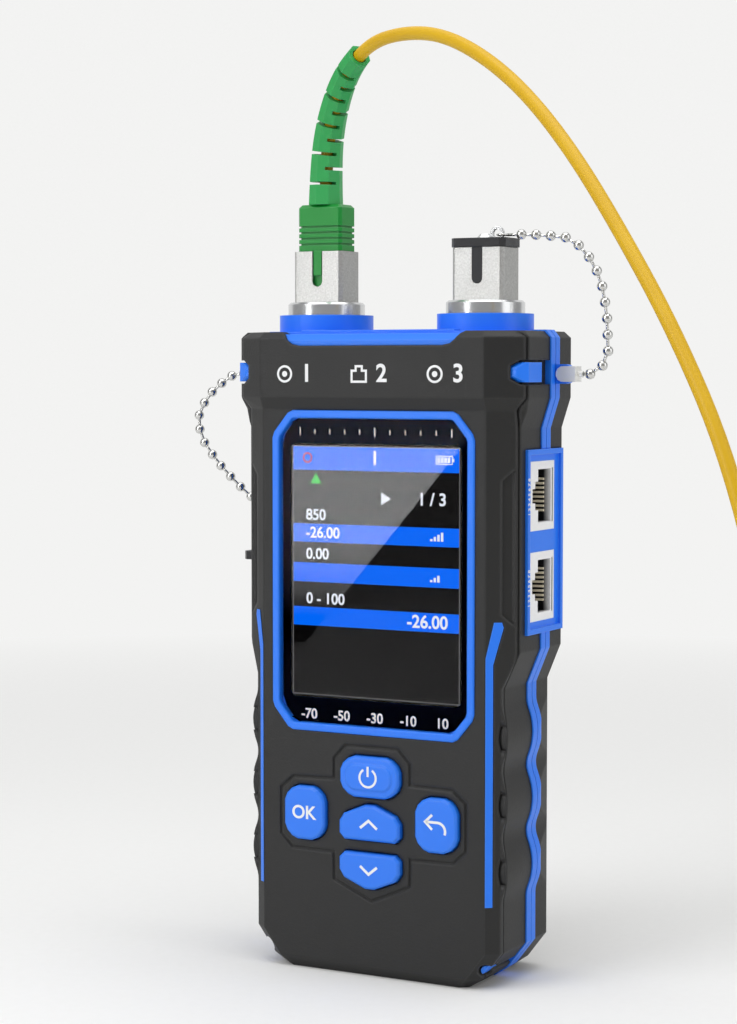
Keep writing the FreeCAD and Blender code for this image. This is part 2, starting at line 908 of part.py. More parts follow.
def front_cover():
    body = housing().cut(hull(-skin)).common(groove_region(-groove_gap / 2))
    window = front_prism(
        window_outline(bezel_w, bezel_h, bezel_corner_w, bezel_corner_h), front_y - past, 0)
    body = body.cut(fuse([
        window, key_openings(front_y - past, 0, key_gap), top_opening(), recess_panel(),
        both(corner_channel(channel_r, tail_r)), both(accent_pocket()), both(tab_pocket()),
    ]))
    field = key_field + [(-x, z) for x, z in reversed(key_field[1:])]
    line = front_prism(grown(field, field_line / 2), front_y - 1, front_y + field_depth)
    line = line.cut(front_prism(grown(field, -field_line / 2), front_y - 2, front_y + 2))
    return body.cut(line)


def side_band():
    body = housing().cut(hull(-skin)).common(slab(-beyond, seam_front))
    body = body.cut(groove_region(groove_gap / 2))
    return body.cut(fuse([
        top_opening(), both(corner_channel(channel_r, tail_r)), both(tab_pocket()),
        both(accent_pocket()), side_bezel_block(2 * (skin + wall)), socket_block(),
    ]))


def rear_cover():
    body = housing().cut(hull(-skin)).common(slab(seam_back, beyond))
    grooves = fuse([
        box(-rib_half, rib_half, rear_y - rib_depth, rear_y + 1, z, z + rib_gap)
        for z in [rib_start + i * rib_pitch for i in range(rib_count)]
    ])
    heads = screw_holes(screw_head_r + head_play, screw_seat(), rear_y + 1)
    return body.cut(fuse([top_opening(), side_bezel_block(2 * (skin + wall)), heads, grooves]))


def accent_pocket():
    """The pocket for an accent strip, right through the skin's outer part."""
    return front_prism(accent_outline(), front_y - past, 0).cut(hull(-strip_thick))


def accent_strip():
    strip = front_prism(accent_outline(), front_y - past, 0)
    return strip.common(hull(strip_proud)).cut(hull(-strip_thick))


def tab_pocket():
    """The pocket for the corner tab, and the deeper slot between it and the seam."""
    shallow = tab_block(tab_margin, tab_front, tab_back).cut(hull(-tab_depth))
    slot = tab_block(tab_margin, tab_back, seam_front).cut(hull(-strip_thick))
    return shallow.fuse(slot)


def corner_tab():
    """The raised blue tab that wraps the head's corner."""
    band = tab_block(0.0, tab_front, tab_back)
    return band.common(hull(tab_proud)).cut(hull(-tab_depth))


def port_plate():
    collars = [tube(collar_r, (side * port_x, port_y, plate_top), (0, 0, 1), collar_h)
               for side in (-1, 1)]
    ridge = box(-notch_half, notch_half, plate_front, plate_front + ridge_d, plate_bottom,
                plate_top + ridge_h)
    plate = fuse([port_plate_block(), plate_tongue().common(hull(-filler_sunk)), ridge, *collars])
    plate = plate.cut(top_jack_block())
    bores = [bar((side * port_x, port_y, plate_bottom - 1), (0, 0, 1), stem_r + stem_play,
                 collar_top - plate_bottom + 2, stem_sides) for side in (-1, 1)]
    return plate.cut(fuse(bores))


def screen_bezel():
    outer = window_outline(bezel_w, bezel_h, bezel_corner_w, bezel_corner_h)
    inner = grown(outer, -bezel_rim)
    front = front_y - bezel_proud
    ring = front_prism(outer, front + bezel_proud, cover_in)
    soft = [[(x, y, z) for x, z in grown(outer, out)]
            for out, y in ((0.0, front + bezel_proud), (-bezel_proud, front))]
    return ring.fuse(skinned(soft)).cut(front_prism(inner, front - 1, cover_in + 1))


def screen_glass():
    inner = grown(window_outline(bezel_w, bezel_h, bezel_corner_w, bezel_corner_h), -bezel_rim)
    return front_prism(inner, cover_in - glass_thick, cover_in)


def display_module():
    """The display's frame on the board, with its panel up through the shell to the glass."""
    half_w = display_w / 2 + module_border
    half_h = display_h / 2 + module_border
    frame = box(-half_w, half_w, shell_in, module_back, window_z - half_h, window_z + half_h)
    panel = box(-display_w / 2, display_w / 2, cover_in + glass_rest, shell_in,
                window_z - display_h / 2, window_z + display_h / 2)
    return frame.fuse(panel)


def main_board():
    board = box(-board_half, board_half, board_front, board_back, board_low, board_high)
    sides = box(-beyond, beyond, -beyond, beyond, board_shoulder, beyond)
    neck = box(-board_neck, board_neck, -beyond, beyond, 0, 2 * beyond)
    board = board.cut(sides.cut(neck))
    return board.cut(screw_holes(screw_r + screw_play, board_front - 1, board_back + 1))


def dome_contacts():
    """The keys' sprung domes, on one sheet on the board."""
    centres = [key_centre(outline) for outline in key_outlines.values()]
    x = max(x for x, _ in centres) + dome_margin
    z0 = min(z for _, z in centres) - dome_margin
    z1 = max(z for _, z in centres) + dome_margin
    sheet = box(-x, x, board_front - dome_sheet, board_front, z0, z1)
    domes = []
    for x, z in centres:
        base, top = (x, board_front, z), (x, board_front - dome_h, z)
        domes.append(skinned([
            ring_points(base, (0, 1, 0), dome_r, small_sides),
            ring_points(top, (0, 1, 0), dome_r * dome_taper, small_sides),
        ]))
    return fuse([sheet, *domes])


def jack_blank():
    """A jack with its mouth up, its latch to the front and its contacts at the back."""
    body = box(-jack_w / 2, jack_w / 2, -jack_d / 2, jack_d / 2, -jack_len, 0)
    back = jack_d / 2 - mouth_wall
    mouth = box(-jack_mouth_w / 2, jack_mouth_w / 2, back - jack_mouth_d, back, -jack_depth, 1)
    latch = box(-jack_latch_w / 2, jack_latch_w / 2, back - jack_mouth_d - jack_latch_d,
                back - jack_mouth_d, -jack_depth, 1)
    key = box(-jack_latch_w / 4, jack_latch_w / 4, back - jack_mouth_d - 2 * jack_latch_d,
              back - jack_mouth_d - jack_latch_d, -jack_depth, 1)
    light = box(light_side - jack_w / 2, jack_w / 2 - light_side, back + light_rim,
                back + mouth_wall - light_rim, -light_depth, 1)
    return body.cut(fuse([mouth, latch, key, light]))


def jack_contacts():
    """Eight sprung wires that lean across the back of the mouth."""
    back = jack_d / 2 - mouth_wall
    wires = []
    for i in range(contact_count):
        x = (i - (contact_count - 1) / 2) * contact_pitch
        side = [
            (back, -contact_in), (back - contact_w, -contact_in),
            (back - contact_reach, contact_knee - jack_depth), (back - contact_reach, -jack_depth),
            (back - contact_reach + contact_w, -jack_depth),
            (back - contact_reach + contact_w, contact_knee - jack_depth),
        ]
        wires.append(prism([(x - contact_w / 2, y, z) for y, z in side], (contact_w, 0, 0)))
    return Part.makeCompound(wires)


def to_side(shape, z):
    """From mouth up at the origin to mouth right on the right side, latch still to the front."""
    turned = shape.copy()
    turned.rotate(V(0, 0, 0), V(0, 1, 0), 90)
    turned.translate(V(waist_half, jack_y, z))
    return turned


def to_top(shape):
    moved = shape.copy()
    moved.translate(V(0, board_back + jack_d / 2, plate_top))
    return moved


def side_bezel():
    frame = side_bezel_block(bezel_depth)
    middle = grown_box(frame, side_bezel_rim)
    frame = frame.cut(middle.common(box(waist_half, beyond, -beyond, beyond, 0, beyond)))
    return frame.cut(fuse([side_jack_block(z) for z in jack_z]))


def grown_box(shape, rim):
    """The inside of a block's outline, in from its edges by the rim."""
    b = shape.BoundBox
    return box(b.XMin - 1, b.XMax + 1, b.YMin + rim, b.YMax - rim, b.ZMin + rim, b.ZMax - rim)


# ---------------------------------------------------------------- ports and caps
def port_flange(side):
    """The polished ring on a collar, with its stem down through the plate."""
    x = side * port_x
    ring = tube(flange_r, (x, port_y, collar_top), (0, 0, 1), flange_h)
    ring = ring.makeChamfer(flange_chamfer, [ring.Edges[i] for i in rim_edges(ring, flange_top)])
    stem = bar((x, port_y, plate_bottom), (0, 0, 1), stem_r, collar_top - plate_bottom,
               stem_sides)
    way = bar((x, port_y, plate_bottom), (0, 0, 1), ferrule_r, flange_top - plate_bottom)
    return ring.fuse(stem).cut(way)


def rim_edges(shape, z):
    """The round edges of a shape that lie at one height."""
    return [
        i for i, e in enumerate(shape.Edges)
        if abs(e.BoundBox.ZMin - z) < least and abs(e.BoundBox.ZMax - z) < least
    ]


def adapter(side):
    """The square metal socket: open on top, with a keyway down its front."""
    x = side * port_x
    body = block(adapter_w, adapter_d, adapter_corner, x, port_y, flange_top, adapter_top)
    cavity = block(cavity_w, cavity_d, cavity_corner, x, port_y, flange_top + adapter_floor,
                   adapter_top + 1)
    front = port_y - adapter_d / 2
    low = adapter_top - keyway_depth + keyway_w / 2
    slot = box(x - keyway_w / 2, x + keyway_w / 2, front - 1, front + 2, low, adapter_top + 1)
    slot = slot.fuse(bar((x, front - 1, low), (0, 1, 0), keyway_w / 2, 3))
    hole = tube(sleeve_r, (x, port_y, flange_top - 1), (0, 0, 1), adapter_floor + 2)
    return body.cut(fuse([cavity, slot, hole]))


def sleeve(side):
    """The split ceramic sleeve that lines up a plug's ferrule."""
    x = side * port_x
    start = (x, port_y, flange_top)
    body = bar(start, (0, 0, 1), sleeve_r - sleeve_play, sleeve_h)
    body = body.cut(bar(start, (0, 0, 1), ferrule_r + sleeve_play, sleeve_h))
    return body.cut(box(x - split / 2, x + split / 2, port_y, port_y + past, flange_top - 1,
                        adapter_top))


def cap():
    """A push-in dust cap, upright on its port at the origin's place: plate, plug and key bar."""
    z = adapter_top + cap_rest
    plate = block(adapter_w + 2 * cap_lip, adapter_d + 2 * cap_lip, adapter_corner + cap_lip,
                  0, 0, z, z + cap_plate_h)
    low = adapter_top - cap_insert
    plug = block(cavity_w - 2 * plug_gap, cavity_d - 2 * plug_gap, cavity_corner, 0, 0, low, z)
    plug = plug.cut(bar((0, 0, low - 1), (0, 0, 1), sleeve_r + 3 * plug_gap,
                        cap_insert - cap_roof + 1))
    front = -adapter_d / 2
    bottom = adapter_top - keyway_depth + keyway_w / 2
    key = box(-cap_key_w / 2, cap_key_w / 2, front, front + cap_key_d, bottom, z)
    key = key.fuse(bar((0, front, bottom), (0, 1, 0), cap_key_w / 2, cap_key_d))
    return fuse([plate, plug, key])


def cap_eyelet(loop_x, loop_up):
    """The rivet on a cap, with its flat ring out to one side or upright."""
    z = adapter_top + cap_rest + cap_plate_h
    rivet = skinned([
        ring_points((0, 0, z), (0, 0, 1), rivet_r, small_sides),
        ring_points((0, 0, z + rivet_h), (0, 0, 1), rivet_r * rivet_taper, small_sides),
    ])
    start = (loop_x, -loop_thick / 2, z + loop_up)
    loop = bar(start, (0, 1, 0), loop_r, loop_thick).cut(
        bar(start, (0, 1, 0), loop_r - loop_band, loop_thick))
    return rivet.fuse(loop.common(box(-beyond, beyond, -beyond, beyond, z, beyond)))


def placed(shape, x, y, z=0.0, turn=0.0):
    moved = shape.copy()
    moved.rotate(V(0, 0, 0), V(0, 0, 1), turn)
    moved.translate(V(x, y, z))
    return moved


# ---------------------------------------------------------------- ball chains
def bead(p):
    """One ball of a chain."""
    r = bead_size / 2
    x, y, z = p
    return skinned([ring_points((x, y, z + r * height), (0, 0, 1), r * reach, bead_sides)
                    for height, reach in bead_levels])


def rod(p, q, r):
    """A wire from p to q."""
    run = V(*q) - V(*p)
    return bar(p, tuple(run), r, run.Length, wire_sides)


def end_ring(x, y, z, axis):
    """The small closed ring at a chain's end, linked through a cap's ring."""
    start = V(x, y, z) - V(*axis) * (end_ring_thick / 2)
    ring = bar(tuple(start), axis, end_ring_r + end_ring_band, end_ring_thick)
    return ring.cut(bar(tuple(start), axis, end_ring_r, end_ring_thick))


def chain(first, points, last, ring):
    """Balls on the points, a short wire between each two, and the ring at the far end."""
    places = [first, *points, last]
    wires = [rod(p, q, link_r) for p, q in zip(places, places[1:])]
    return fuse([*[bead(p) for p in points], *wires, ring])


def even_points(knots, pitch):
    """Points about a pitch apart along the knots, the first and the last of them kept."""
    length = sum((V(*q) - V(*p)).Length for p, q in zip(knots, knots[1:]))
    step = length / round(length / pitch)
    points, due = [knots[0]], step
    for p, q in zip(knots, knots[1:]):
        run = V(*q) - V(*p)
        left = run.Length
        while due < left - least:
            points.append(tuple(V(*p) + run * (due / run.Length)))
            due += step
        due -= left
    return points + [knots[-1]]


def clamp(side):
    """The bright clip on a lug: two cheeks, the bridge that holds the chain, and its pin."""
    y = parting_y + parting_line / 2 + lug_thick / 2
    half = lug_thick / 2 + clamp_gap + clamp_cheek
    pin_x = head_half + lug_reach - lug_h / 2
    x1 = head_half + lug_reach + clamp_gap + clamp_cheek
    z0, z1 = lug_z - clamp_h / 2, lug_z + clamp_h / 2
    body = box(pin_x, x1, y - half, y + half, z0, z1)
    body = body.fuse(bar((pin_x, y - half, lug_z), (0, 1, 0), clamp_h / 2, 2 * half))
    inner = half - clamp_cheek
    body = body.cut(box(0, x1 - clamp_cheek, y - inner, y + inner, z0 - 1, z1 + 1))
    pin = tube(lug_hole_r - pin_play, (pin_x, y - half, lug_z), (0, 1, 0), 2 * half)
    neck = rod((x1 - clamp_cheek, y, lug_z), (x1 + clamp_neck, y, lug_z), neck_r)
    body = fuse([body, pin, neck])
    return body if side > 0 else mirrored(body)


def clamp_end(side):
    """Where a chain leaves its clamp's neck."""
    reach = head_half + lug_reach + clamp_gap + clamp_cheek + clamp_neck
    return (side * reach, parting_y + parting_line / 2 + lug_thick / 2, lug_z)


def laser_chain():
    """The chain from the right clamp up over the adapter to the ring on the cap."""
    ring_x = port_x + loop_side + loop_r - loop_band / 2
    ring_z = adapter_top + cap_rest + cap_plate_h + loop_lift
    start = clamp_end(1)
    low, high = lug_z + rise_start, ring_z - rise_end
    knots = [(head_half + out, start[1] + (port_y - start[1]) * up, low + (high - low) * up)
             for out, up in right_knots]
    last = (ring_x + end_ring_r + end_ring_band / 2, port_y, ring_z)
    ring = end_ring(ring_x, port_y, ring_z, (0, 0, 1))
    return chain(start, even_points(knots, bead_pitch), last, ring)


def hung_ring():
    """Where the hanging cap's ring is."""
    return (-waist_half - hung_out, hung_y, lug_z - hung_down)


def power_chain():
    """The chain from the left clamp down to its hanging cap."""
    x, y, z = hung_ring()
    ring_z = z - loop_band / 2
    knots = [(-head_half - out, depth, lug_z + up) for out, depth, up in left_knots]
    last = (x, y, ring_z + end_ring_r + end_ring_band / 2)
    ring = end_ring(x, y, ring_z, (0, 1, 0))
    return chain(clamp_end(-1), even_points(knots, bead_pitch), last, ring)


def hang(shape):
    """A cap's piece from upright on its port to hanging by its ring, turned side on."""
    x, y, z = hung_ring()
    top = adapter_top + cap_rest + cap_plate_h
    return placed(shape, x, y, z - top - loop_r - loop_high, 90)


# ---------------------------------------------------------------- patch lead
def route_point(along, z):
    a = math.radians(lead_heading)
    return V(-port_x + along * math.cos(a), port_y + along * math.sin(a), z)


def lead_points():
    return [route_point(*p) for p in lead_route]


def bends(points):
    """Each corner's arc, as large as its two runs allow: its ends, radius, half turn and middle."""
    for before, corner, after in zip(points, points[1:], points[2:]):
        into = (corner - before).normalize()
        out = (after - corner).normalize()
        half = into.getAngle(out) / 2
        reach = bend_share * min((corner - before).Length, (after - corner).Length)
        radius = reach / math.tan(half)
        first, last = corner - into * reach, corner + out * reach
        inward = (first + last - corner * 2).normalize()
        centre = corner + inward * (radius / math.cos(half))
        yield first, last, centre, inward, into.cross(out).normalize(), half, radius


def centreline(points):
    edges = []
    start = points[0]
    for first, last, centre, inward, _, _, radius in bends(points):
        edges.append(Part.LineSegment(start, first).toShape())
        edges.append(Part.Arc(first, centre - inward * radius, last).toShape())
        start = last
    edges.append(Part.LineSegment(start, points[-1]).toShape())
    return Part.Wire(edges)


def lead_tube(name, points, radius):
    """A cable along the points: straight runs joined by arcs."""
    face = Part.Face(polygon(ring_points(points[0], points[1] - points[0], radius, tube_sides)))
    runs, radii = [], []
    start = points[0]
    for first, last, centre, _, axis, half, bend in bends(points):
        runs.append(face.extrude(first - start))
        face.translate(first - start)
        runs.append(face.revolve(centre, axis, math.degrees(2 * half)))
        face.rotate(centre, axis, math.degrees(2 * half))
        radii.append(round(bend, 1))
        start = last
    runs.append(face.extrude(points[-1] - start))
    solid = fuse(runs)
    length = centreline(points).Length
    print(f"{name}: length {length:.1f} mm, radii {radii}")
    ratio = solid.Volume / (math.pi * radius ** 2 * length)
    print(f"{name}: volume / (section x length) = {ratio:.4f}")
    return solid


def coil_centre():
    """The coil lies to the left of where the lead reaches the floor, as its last run turns in."""
    a = math.radians(lead_heading)
    land = route_point(*lead_route[-1])
    return V(land.x - coil_mid_r * math.sin(a), land.y + coil_mid_r * math.cos(a), 0)


def lead_coil():
    """The wound part of the lead as one plain ring, with its edges cut off."""
    c = coil_centre()
    outer, inner = coil_mid_r + coil_w / 2, coil_mid_r - coil_w / 2
    h, edge = coil_h, coil_edge
    up = (0, 0, 1)
    levels = ((0, edge), (edge, 0), (h - edge, 0), (h, edge))
    body = skinned([ring_points((c.x, c.y, z), up, outer - back, coil_sides)
                    for z, back in levels])
    hole = skinned([ring_points((c.x, c.y, z), up, inner + back, coil_sides)
                    for z, back in levels])
    return body.cut(hole)


def boot_sides(along):
    """The two directions across the lead's path, one of them level."""
    side = V(0, 0, 1).cross(along)
    if side.Length < least:
        a = math.radians(lead_heading)
        side = V(-math.sin(a), math.cos(a), 0)
    side.normalize()
    return side, along.cross(side)


def boot_section(at, along, size):
    """A square ring with cut corners across the lead's path."""
    side, other = boot_sides(along)
    ring = cut_corners(size, size, size * boot_cut, 0, 0, 0)
    return [tuple(at + side * a + other * b) for a, b, _ in ring]


def boot(points, bored):
    """A tapered strain relief along the points, slotted from alternate sides."""
    count = 2 * boot_slots
    path = centreline(points)
    steps = round(path.Length * count / boot_len)
    stations = path.discretize(Number=steps + 1)[:count + 1]
    ways = [(b - a).normalize() for a, b in zip(stations[:1] + stations, stations[1:] + stations[-1:])]
    sizes = [boot_base + (boot_tip - boot_base) * i / count for i in range(count + 1)]
    body = skinned([boot_section(p, way, size) for p, way, size in zip(stations, ways, sizes)])
    cuts = []
    for k in range(boot_slots):
        i = 2 * k + 1
        other, side = boot_sides(ways[i])
        way = other if k % 2 else other * -1
        reach = side * (2 * boot_base)
        low = stations[i] + way * (cable_r * slot_floor) - side * boot_base - ways[i] * (slot_w / 2)
        high = low + way * boot_base
        ring = [low, low + reach, high + reach, high]
        cuts.append(prism([tuple(p) for p in ring], tuple(ways[i] * slot_w)))
    if bored:
        ends = [stations[0] - ways[0], *stations[1:-1], stations[-1] + ways[-1]]
        bore = 2 * (cable_r + boot_play)
        cuts.append(skinned([boot_section(p, way, bore) for p, way in zip(ends, ways)]))
    return body.cut(fuse(cuts))


def plug():
    """The push-pull plug, upright with its mouth at z = 0 and its key to the front."""
    low = plug_insert + plug_shoulder
    crown_z = plug_len - plug_corner
    grip = skinned([
        cut_corners(plug_grip_w, plug_grip_d, plug_corner, 0, 0, z) for z in (low, crown_z)
    ] + [cut_corners(plug_grip_w - 2 * plug_corner, plug_grip_d - 2 * plug_corner,
                     plug_corner / 2, 0, 0, plug_len)])
    grooves = []
    for i in range(plug_ribs):
        z = low + (i + 1) * plug_rib_pitch
        w, d = plug_grip_w, plug_grip_d
        band = box(-w, w, -d, d, z, z + plug_groove)
        core = block(w - 2 * plug_groove, d - 2 * plug_groove, plug_groove, 0, 0, z, z + plug_groove)
        grooves.append(band.cut(core))
    body = block(plug_w, plug_d, cavity_corner, 0, 0, 0, low)
    front = -adapter_d / 2 + key_sunk
    key_low = plug_insert - keyway_depth + keyway_w
    key = box(-plug_key_w / 2, plug_key_w / 2, front, -plug_d / 2 + plug_corner, key_low, low)
    mouth = bar((0, 0, 0), (0, 0, 1), sleeve_r + plug_mouth_play, plug_mouth)
    core = bar((0, 0, plug_mouth), (0, 0, 1), ferrule_r, plug_core)
    return fuse([grip.cut(fuse(grooves)), body, key]).cut(fuse([mouth, core]))


def ferrule():
    return bar((0, 0, plug_nose), (0, 0, 1), ferrule_r, plug_mouth + plug_core - plug_nose)


def far_place(shape):
    """From upright to lying on the floor beside the coil, pointing to the back."""
    c = coil_centre()
    lying = placed(shape, 0, 0, 0, 180)
    lying.rotate(V(0, 0, 0), V(1, 0, 0), 90)
    lying.translate(V(c.x + tail_r_out, c.y + far_run + boot_len + plug_len, boot_base / 2))
    return lying


def tail_points():
    """From inside the coil to the tip of the far plug's boot."""
    c = coil_centre()
    x, low = c.x + tail_r_out, cable_r + tail_lift
    return [V(x + out, c.y + along, low + up) for out, along, up in tail_knots]


def far_boot_points():
    x, y, z = tuple(tail_points()[-1])
    return [V(x, y + boot_len, z), V(x, y, z)]


def lead_cable():
    return lead_tube("lead_cable", lead_points(), cable_r)


def lead_tail():
    return lead_tube("lead_tail", tail_points(), cable_r)


# ---------------------------------------------------------------- inner modules
def battery_pack():
    w, d, h = battery
    return box(-w / 2, w / 2, rear_in - d, rear_in, battery_z, battery_z + h)


def jack_board():
    y = jack_y + jack_d / 2
    z0, z1 = jack_z[0] - jack_w / 2 - jack_board_rim, jack_z[-1] + jack_w / 2 + jack_board_rim
    x0, x1 = jack_board_span()
    return box(x0, x1, y, y + jack_board_thick, z0, z1)


def jack_board_span():
    """How far in and out the side jacks' board reaches."""
    return waist_half - jack_len - jack_board_rim, waist_half - skin - wall - jack_board_rim / 2


def jack_board_ribs():
    """Two ribs of the rear shell that the jacks' board rests on."""
    y = jack_y + jack_d / 2 + jack_board_thick
    x0, x1 = jack_board_span()
    return [box(x0, x1, y, rear_in + bite, z - 1, z + 1) for z in jack_z]


def buzzer():
    start = (buzzer_x, board_back, buzzer_z)
    body = bar(start, (0, 1, 0), buzzer_r, buzzer_h)
    return body.cut(bar(start, (0, 1, 0), buzzer_hole_r, buzzer_h))


def charging_socket():
    """The charging socket's steel shell, its tongue, and the legs that stand it on the board."""
    outside = box(-beyond, -waist_half - socket_shell, -beyond, beyond, 0, beyond)
    shell = socket_block().cut(outside)
    b = shell.BoundBox
    t = socket_shell
    mouth = box(b.XMin - 1, b.XMax - t, b.YMin + t, b.YMax - t, b.ZMin + t, b.ZMax - t)
    y = (b.YMin + b.YMax) / 2
    half = tongue_thick / 2
    tongue = box(b.XMin + tongue_in, b.XMax, y - half, y + half,
                 b.ZMin + tongue_margin, b.ZMax - tongue_margin)
    legs = [box(b.XMax - leg_back - leg_w, b.XMax - leg_back, board_back, b.YMin + t, z, z + t)
            for z in (b.ZMin, b.ZMax - t)]
    return fuse([shell.cut(mouth), tongue, *legs])


def case_screws():
    """Four screws with socket heads, from the rear shell's bosses into the front shell's."""
    seat = screw_seat()
    tip = shell_in + screw_bite
    screws = []
    for side in (-1, 1):
        for x, z in screw_places:
            shank = bar((side * x, tip, z), (0, 1, 0), screw_r, seat - tip)
            head = bar((side * x, seat, z), (0, 1, 0), screw_head_r, screw_head_h)
            socket = bar((side * x, seat + screw_head_h / 2, z), (0, 1, 0), screw_r, screw_head_h,
                         socket_sides)
            screws.append(shank.fuse(head).cut(socket))
    return Part.makeCompound(screws)


def module_under(side, radius, length):
    """A module that hangs below a port's stem."""
    return bar((side * port_x, port_y, plate_bottom - length), (0, 0, 1), radius, length,
               stem_sides)


# ---------------------------------------------------------------- all the nodes
def pieces():
    yield "front_shell", front_shell()
    yield "rear_shell", rear_shell()
    yield "port_plate", port_plate()
    yield "front_cover", front_cover()
    yield "side_band", side_band()
    yield "rear_cover", rear_cover()
    yield "accent_strip_right", accent_strip()
    yield "accent_strip_left", mirrored(accent_strip())
    yield "corner_tab_right", corner_tab()
    yield "corner_tab_left", mirrored(corner_tab())
    yield "screen_bezel", screen_bezel()
    yield "screen_glass", screen_glass()
    yield "display_module", display_module()
    for name, outline in key_outlines.items():
        yield name, power_key() if outline is power_outline else key_cap(outline)
    yield "dome_contacts", dome_contacts()
    yield "main_board", main_board()
    yield "battery_pack", battery_pack()
    yield "buzzer", buzzer()
    yield "charging_socket", charging_socket()
    yield "case_screws", case_screws()
    yield "side_bezel", side_bezel()
    for name, z in zip(("side_jack_lower", "side_jack_upper"), jack_z):
        yield name, to_side(jack_blank(), z)
    yield "side_jack_contacts", Part.makeCompound(
        [to_side(jack_contacts(), z) for z in jack_z])
    yield "jack_board", jack_board()
    yield "top_jack", to_top(jack_blank())
    yield "top_jack_contacts", to_top(jack_contacts())
    for name, side in (("power", -1), ("laser", 1)):
        yield f"{name}_port_flange", port_flange(side)
        yield f"{name}_port_adapter", adapter(side)
        yield f"{name}_port_sleeve", sleeve(side)
    yield "detector_module", module_under(-1, detector_r, detector_len)
    yield "laser_module", module_under(1, laser_r, laser_len)
    yield "laser_cap", placed(cap(), port_x, port_y)
    yield "laser_cap_ring", placed(cap_eyelet(loop_side, loop_lift), port_x, port_y)
    yield "laser_chain", laser_chain()
    yield "laser_clamp", clamp(1)
    yield "power_cap", hang(cap())
    yield "power_cap_ring", hang(cap_eyelet(0.0, loop_high))
    yield "power_chain", power_chain()
    yield "power_clamp", clamp(-1)
    mouth = adapter_top - plug_insert
    yield "lead_plug", placed(plug(), -port_x, port_y, mouth)
    yield "lead_ferrule", placed(ferrule(), -port_x, port_y, mouth)
    yield "lead_boot", boot(lead_points(), True)
    yield "lead_cable", lead_cable()
    yield "lead_coil", lead_coil()
    yield "lead_tail", lead_tail()
    yield "far_plug", far_place(plug())
    yield "far_ferrule", far_place(ferrule())
    yield "far_boot", boot(far_boot_points(), False)


def main():
    os.makedirs("parts", exist_ok=True)
    for name, shape in pieces():
        solids = shape.Solids
        if not solids or not all(s.isValid() for s in solids):
            raise RuntimeError(f"{name} is not a sound solid")
        kept = solids[0] if len(solids) == 1 else Part.makeCompound(solids)
        kept.exportStep(f"parts/{name}.step")
        print(f"{name}: {len(solids)} solid(s), {kept.Volume / 1000:.3f} cm3")


main()
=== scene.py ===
import math

import bmesh
import bpy
from mathutils import Matrix, Vector


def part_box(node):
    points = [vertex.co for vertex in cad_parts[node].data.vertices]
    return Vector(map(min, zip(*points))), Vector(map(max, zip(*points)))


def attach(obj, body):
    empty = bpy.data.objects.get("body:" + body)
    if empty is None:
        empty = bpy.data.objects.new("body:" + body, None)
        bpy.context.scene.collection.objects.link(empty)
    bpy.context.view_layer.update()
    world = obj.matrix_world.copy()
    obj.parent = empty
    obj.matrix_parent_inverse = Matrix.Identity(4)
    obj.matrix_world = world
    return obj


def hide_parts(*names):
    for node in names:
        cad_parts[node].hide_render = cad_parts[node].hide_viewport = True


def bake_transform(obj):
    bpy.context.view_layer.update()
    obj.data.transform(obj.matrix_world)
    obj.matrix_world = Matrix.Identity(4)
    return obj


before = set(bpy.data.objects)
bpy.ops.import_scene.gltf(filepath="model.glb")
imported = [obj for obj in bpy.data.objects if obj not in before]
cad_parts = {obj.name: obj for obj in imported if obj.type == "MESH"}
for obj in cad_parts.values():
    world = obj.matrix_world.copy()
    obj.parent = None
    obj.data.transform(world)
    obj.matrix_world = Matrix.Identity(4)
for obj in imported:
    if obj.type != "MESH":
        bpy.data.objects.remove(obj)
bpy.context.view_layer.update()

bl_info = {
    "name": "Fibre Meter Dresser",
    "version": (1, 0, 0),
    "blender": (4, 5, 0),
    "location": "View3D > Sidebar > Meter",
    "description": "Gives a packed handheld fibre meter its materials, prints, chains and lead",
    "category": "Object",
}

MM = 0.001
BODY = "meter"
PANEL_IOR = 1.25  # low, so that the display mirrors only a little


# ---- settings
def linear(code):
    """A colour written as sRGB hex, as the linear values that shaders use."""
    parts = [int(code[i:i + 2], 16) / 255 for i in (1, 3, 5)]
    return tuple(c / 12.92 if c <= 0.04045 else ((c + 0.055) / 1.055) ** 2.4 for c in parts)


def colour(name, description, code):
    return bpy.props.FloatVectorProperty(
        name=name, description=description, default=linear(code), subtype="COLOR",
        size=3, min=0.0, max=1.0)


def length(name, description, millimetres):
    return bpy.props.FloatProperty(
        name=name, description=description, default=millimetres * MM, unit="LENGTH",
        min=0.0, precision=5)


def number(name, description, default):
    return bpy.props.FloatProperty(name=name, description=description, default=default)


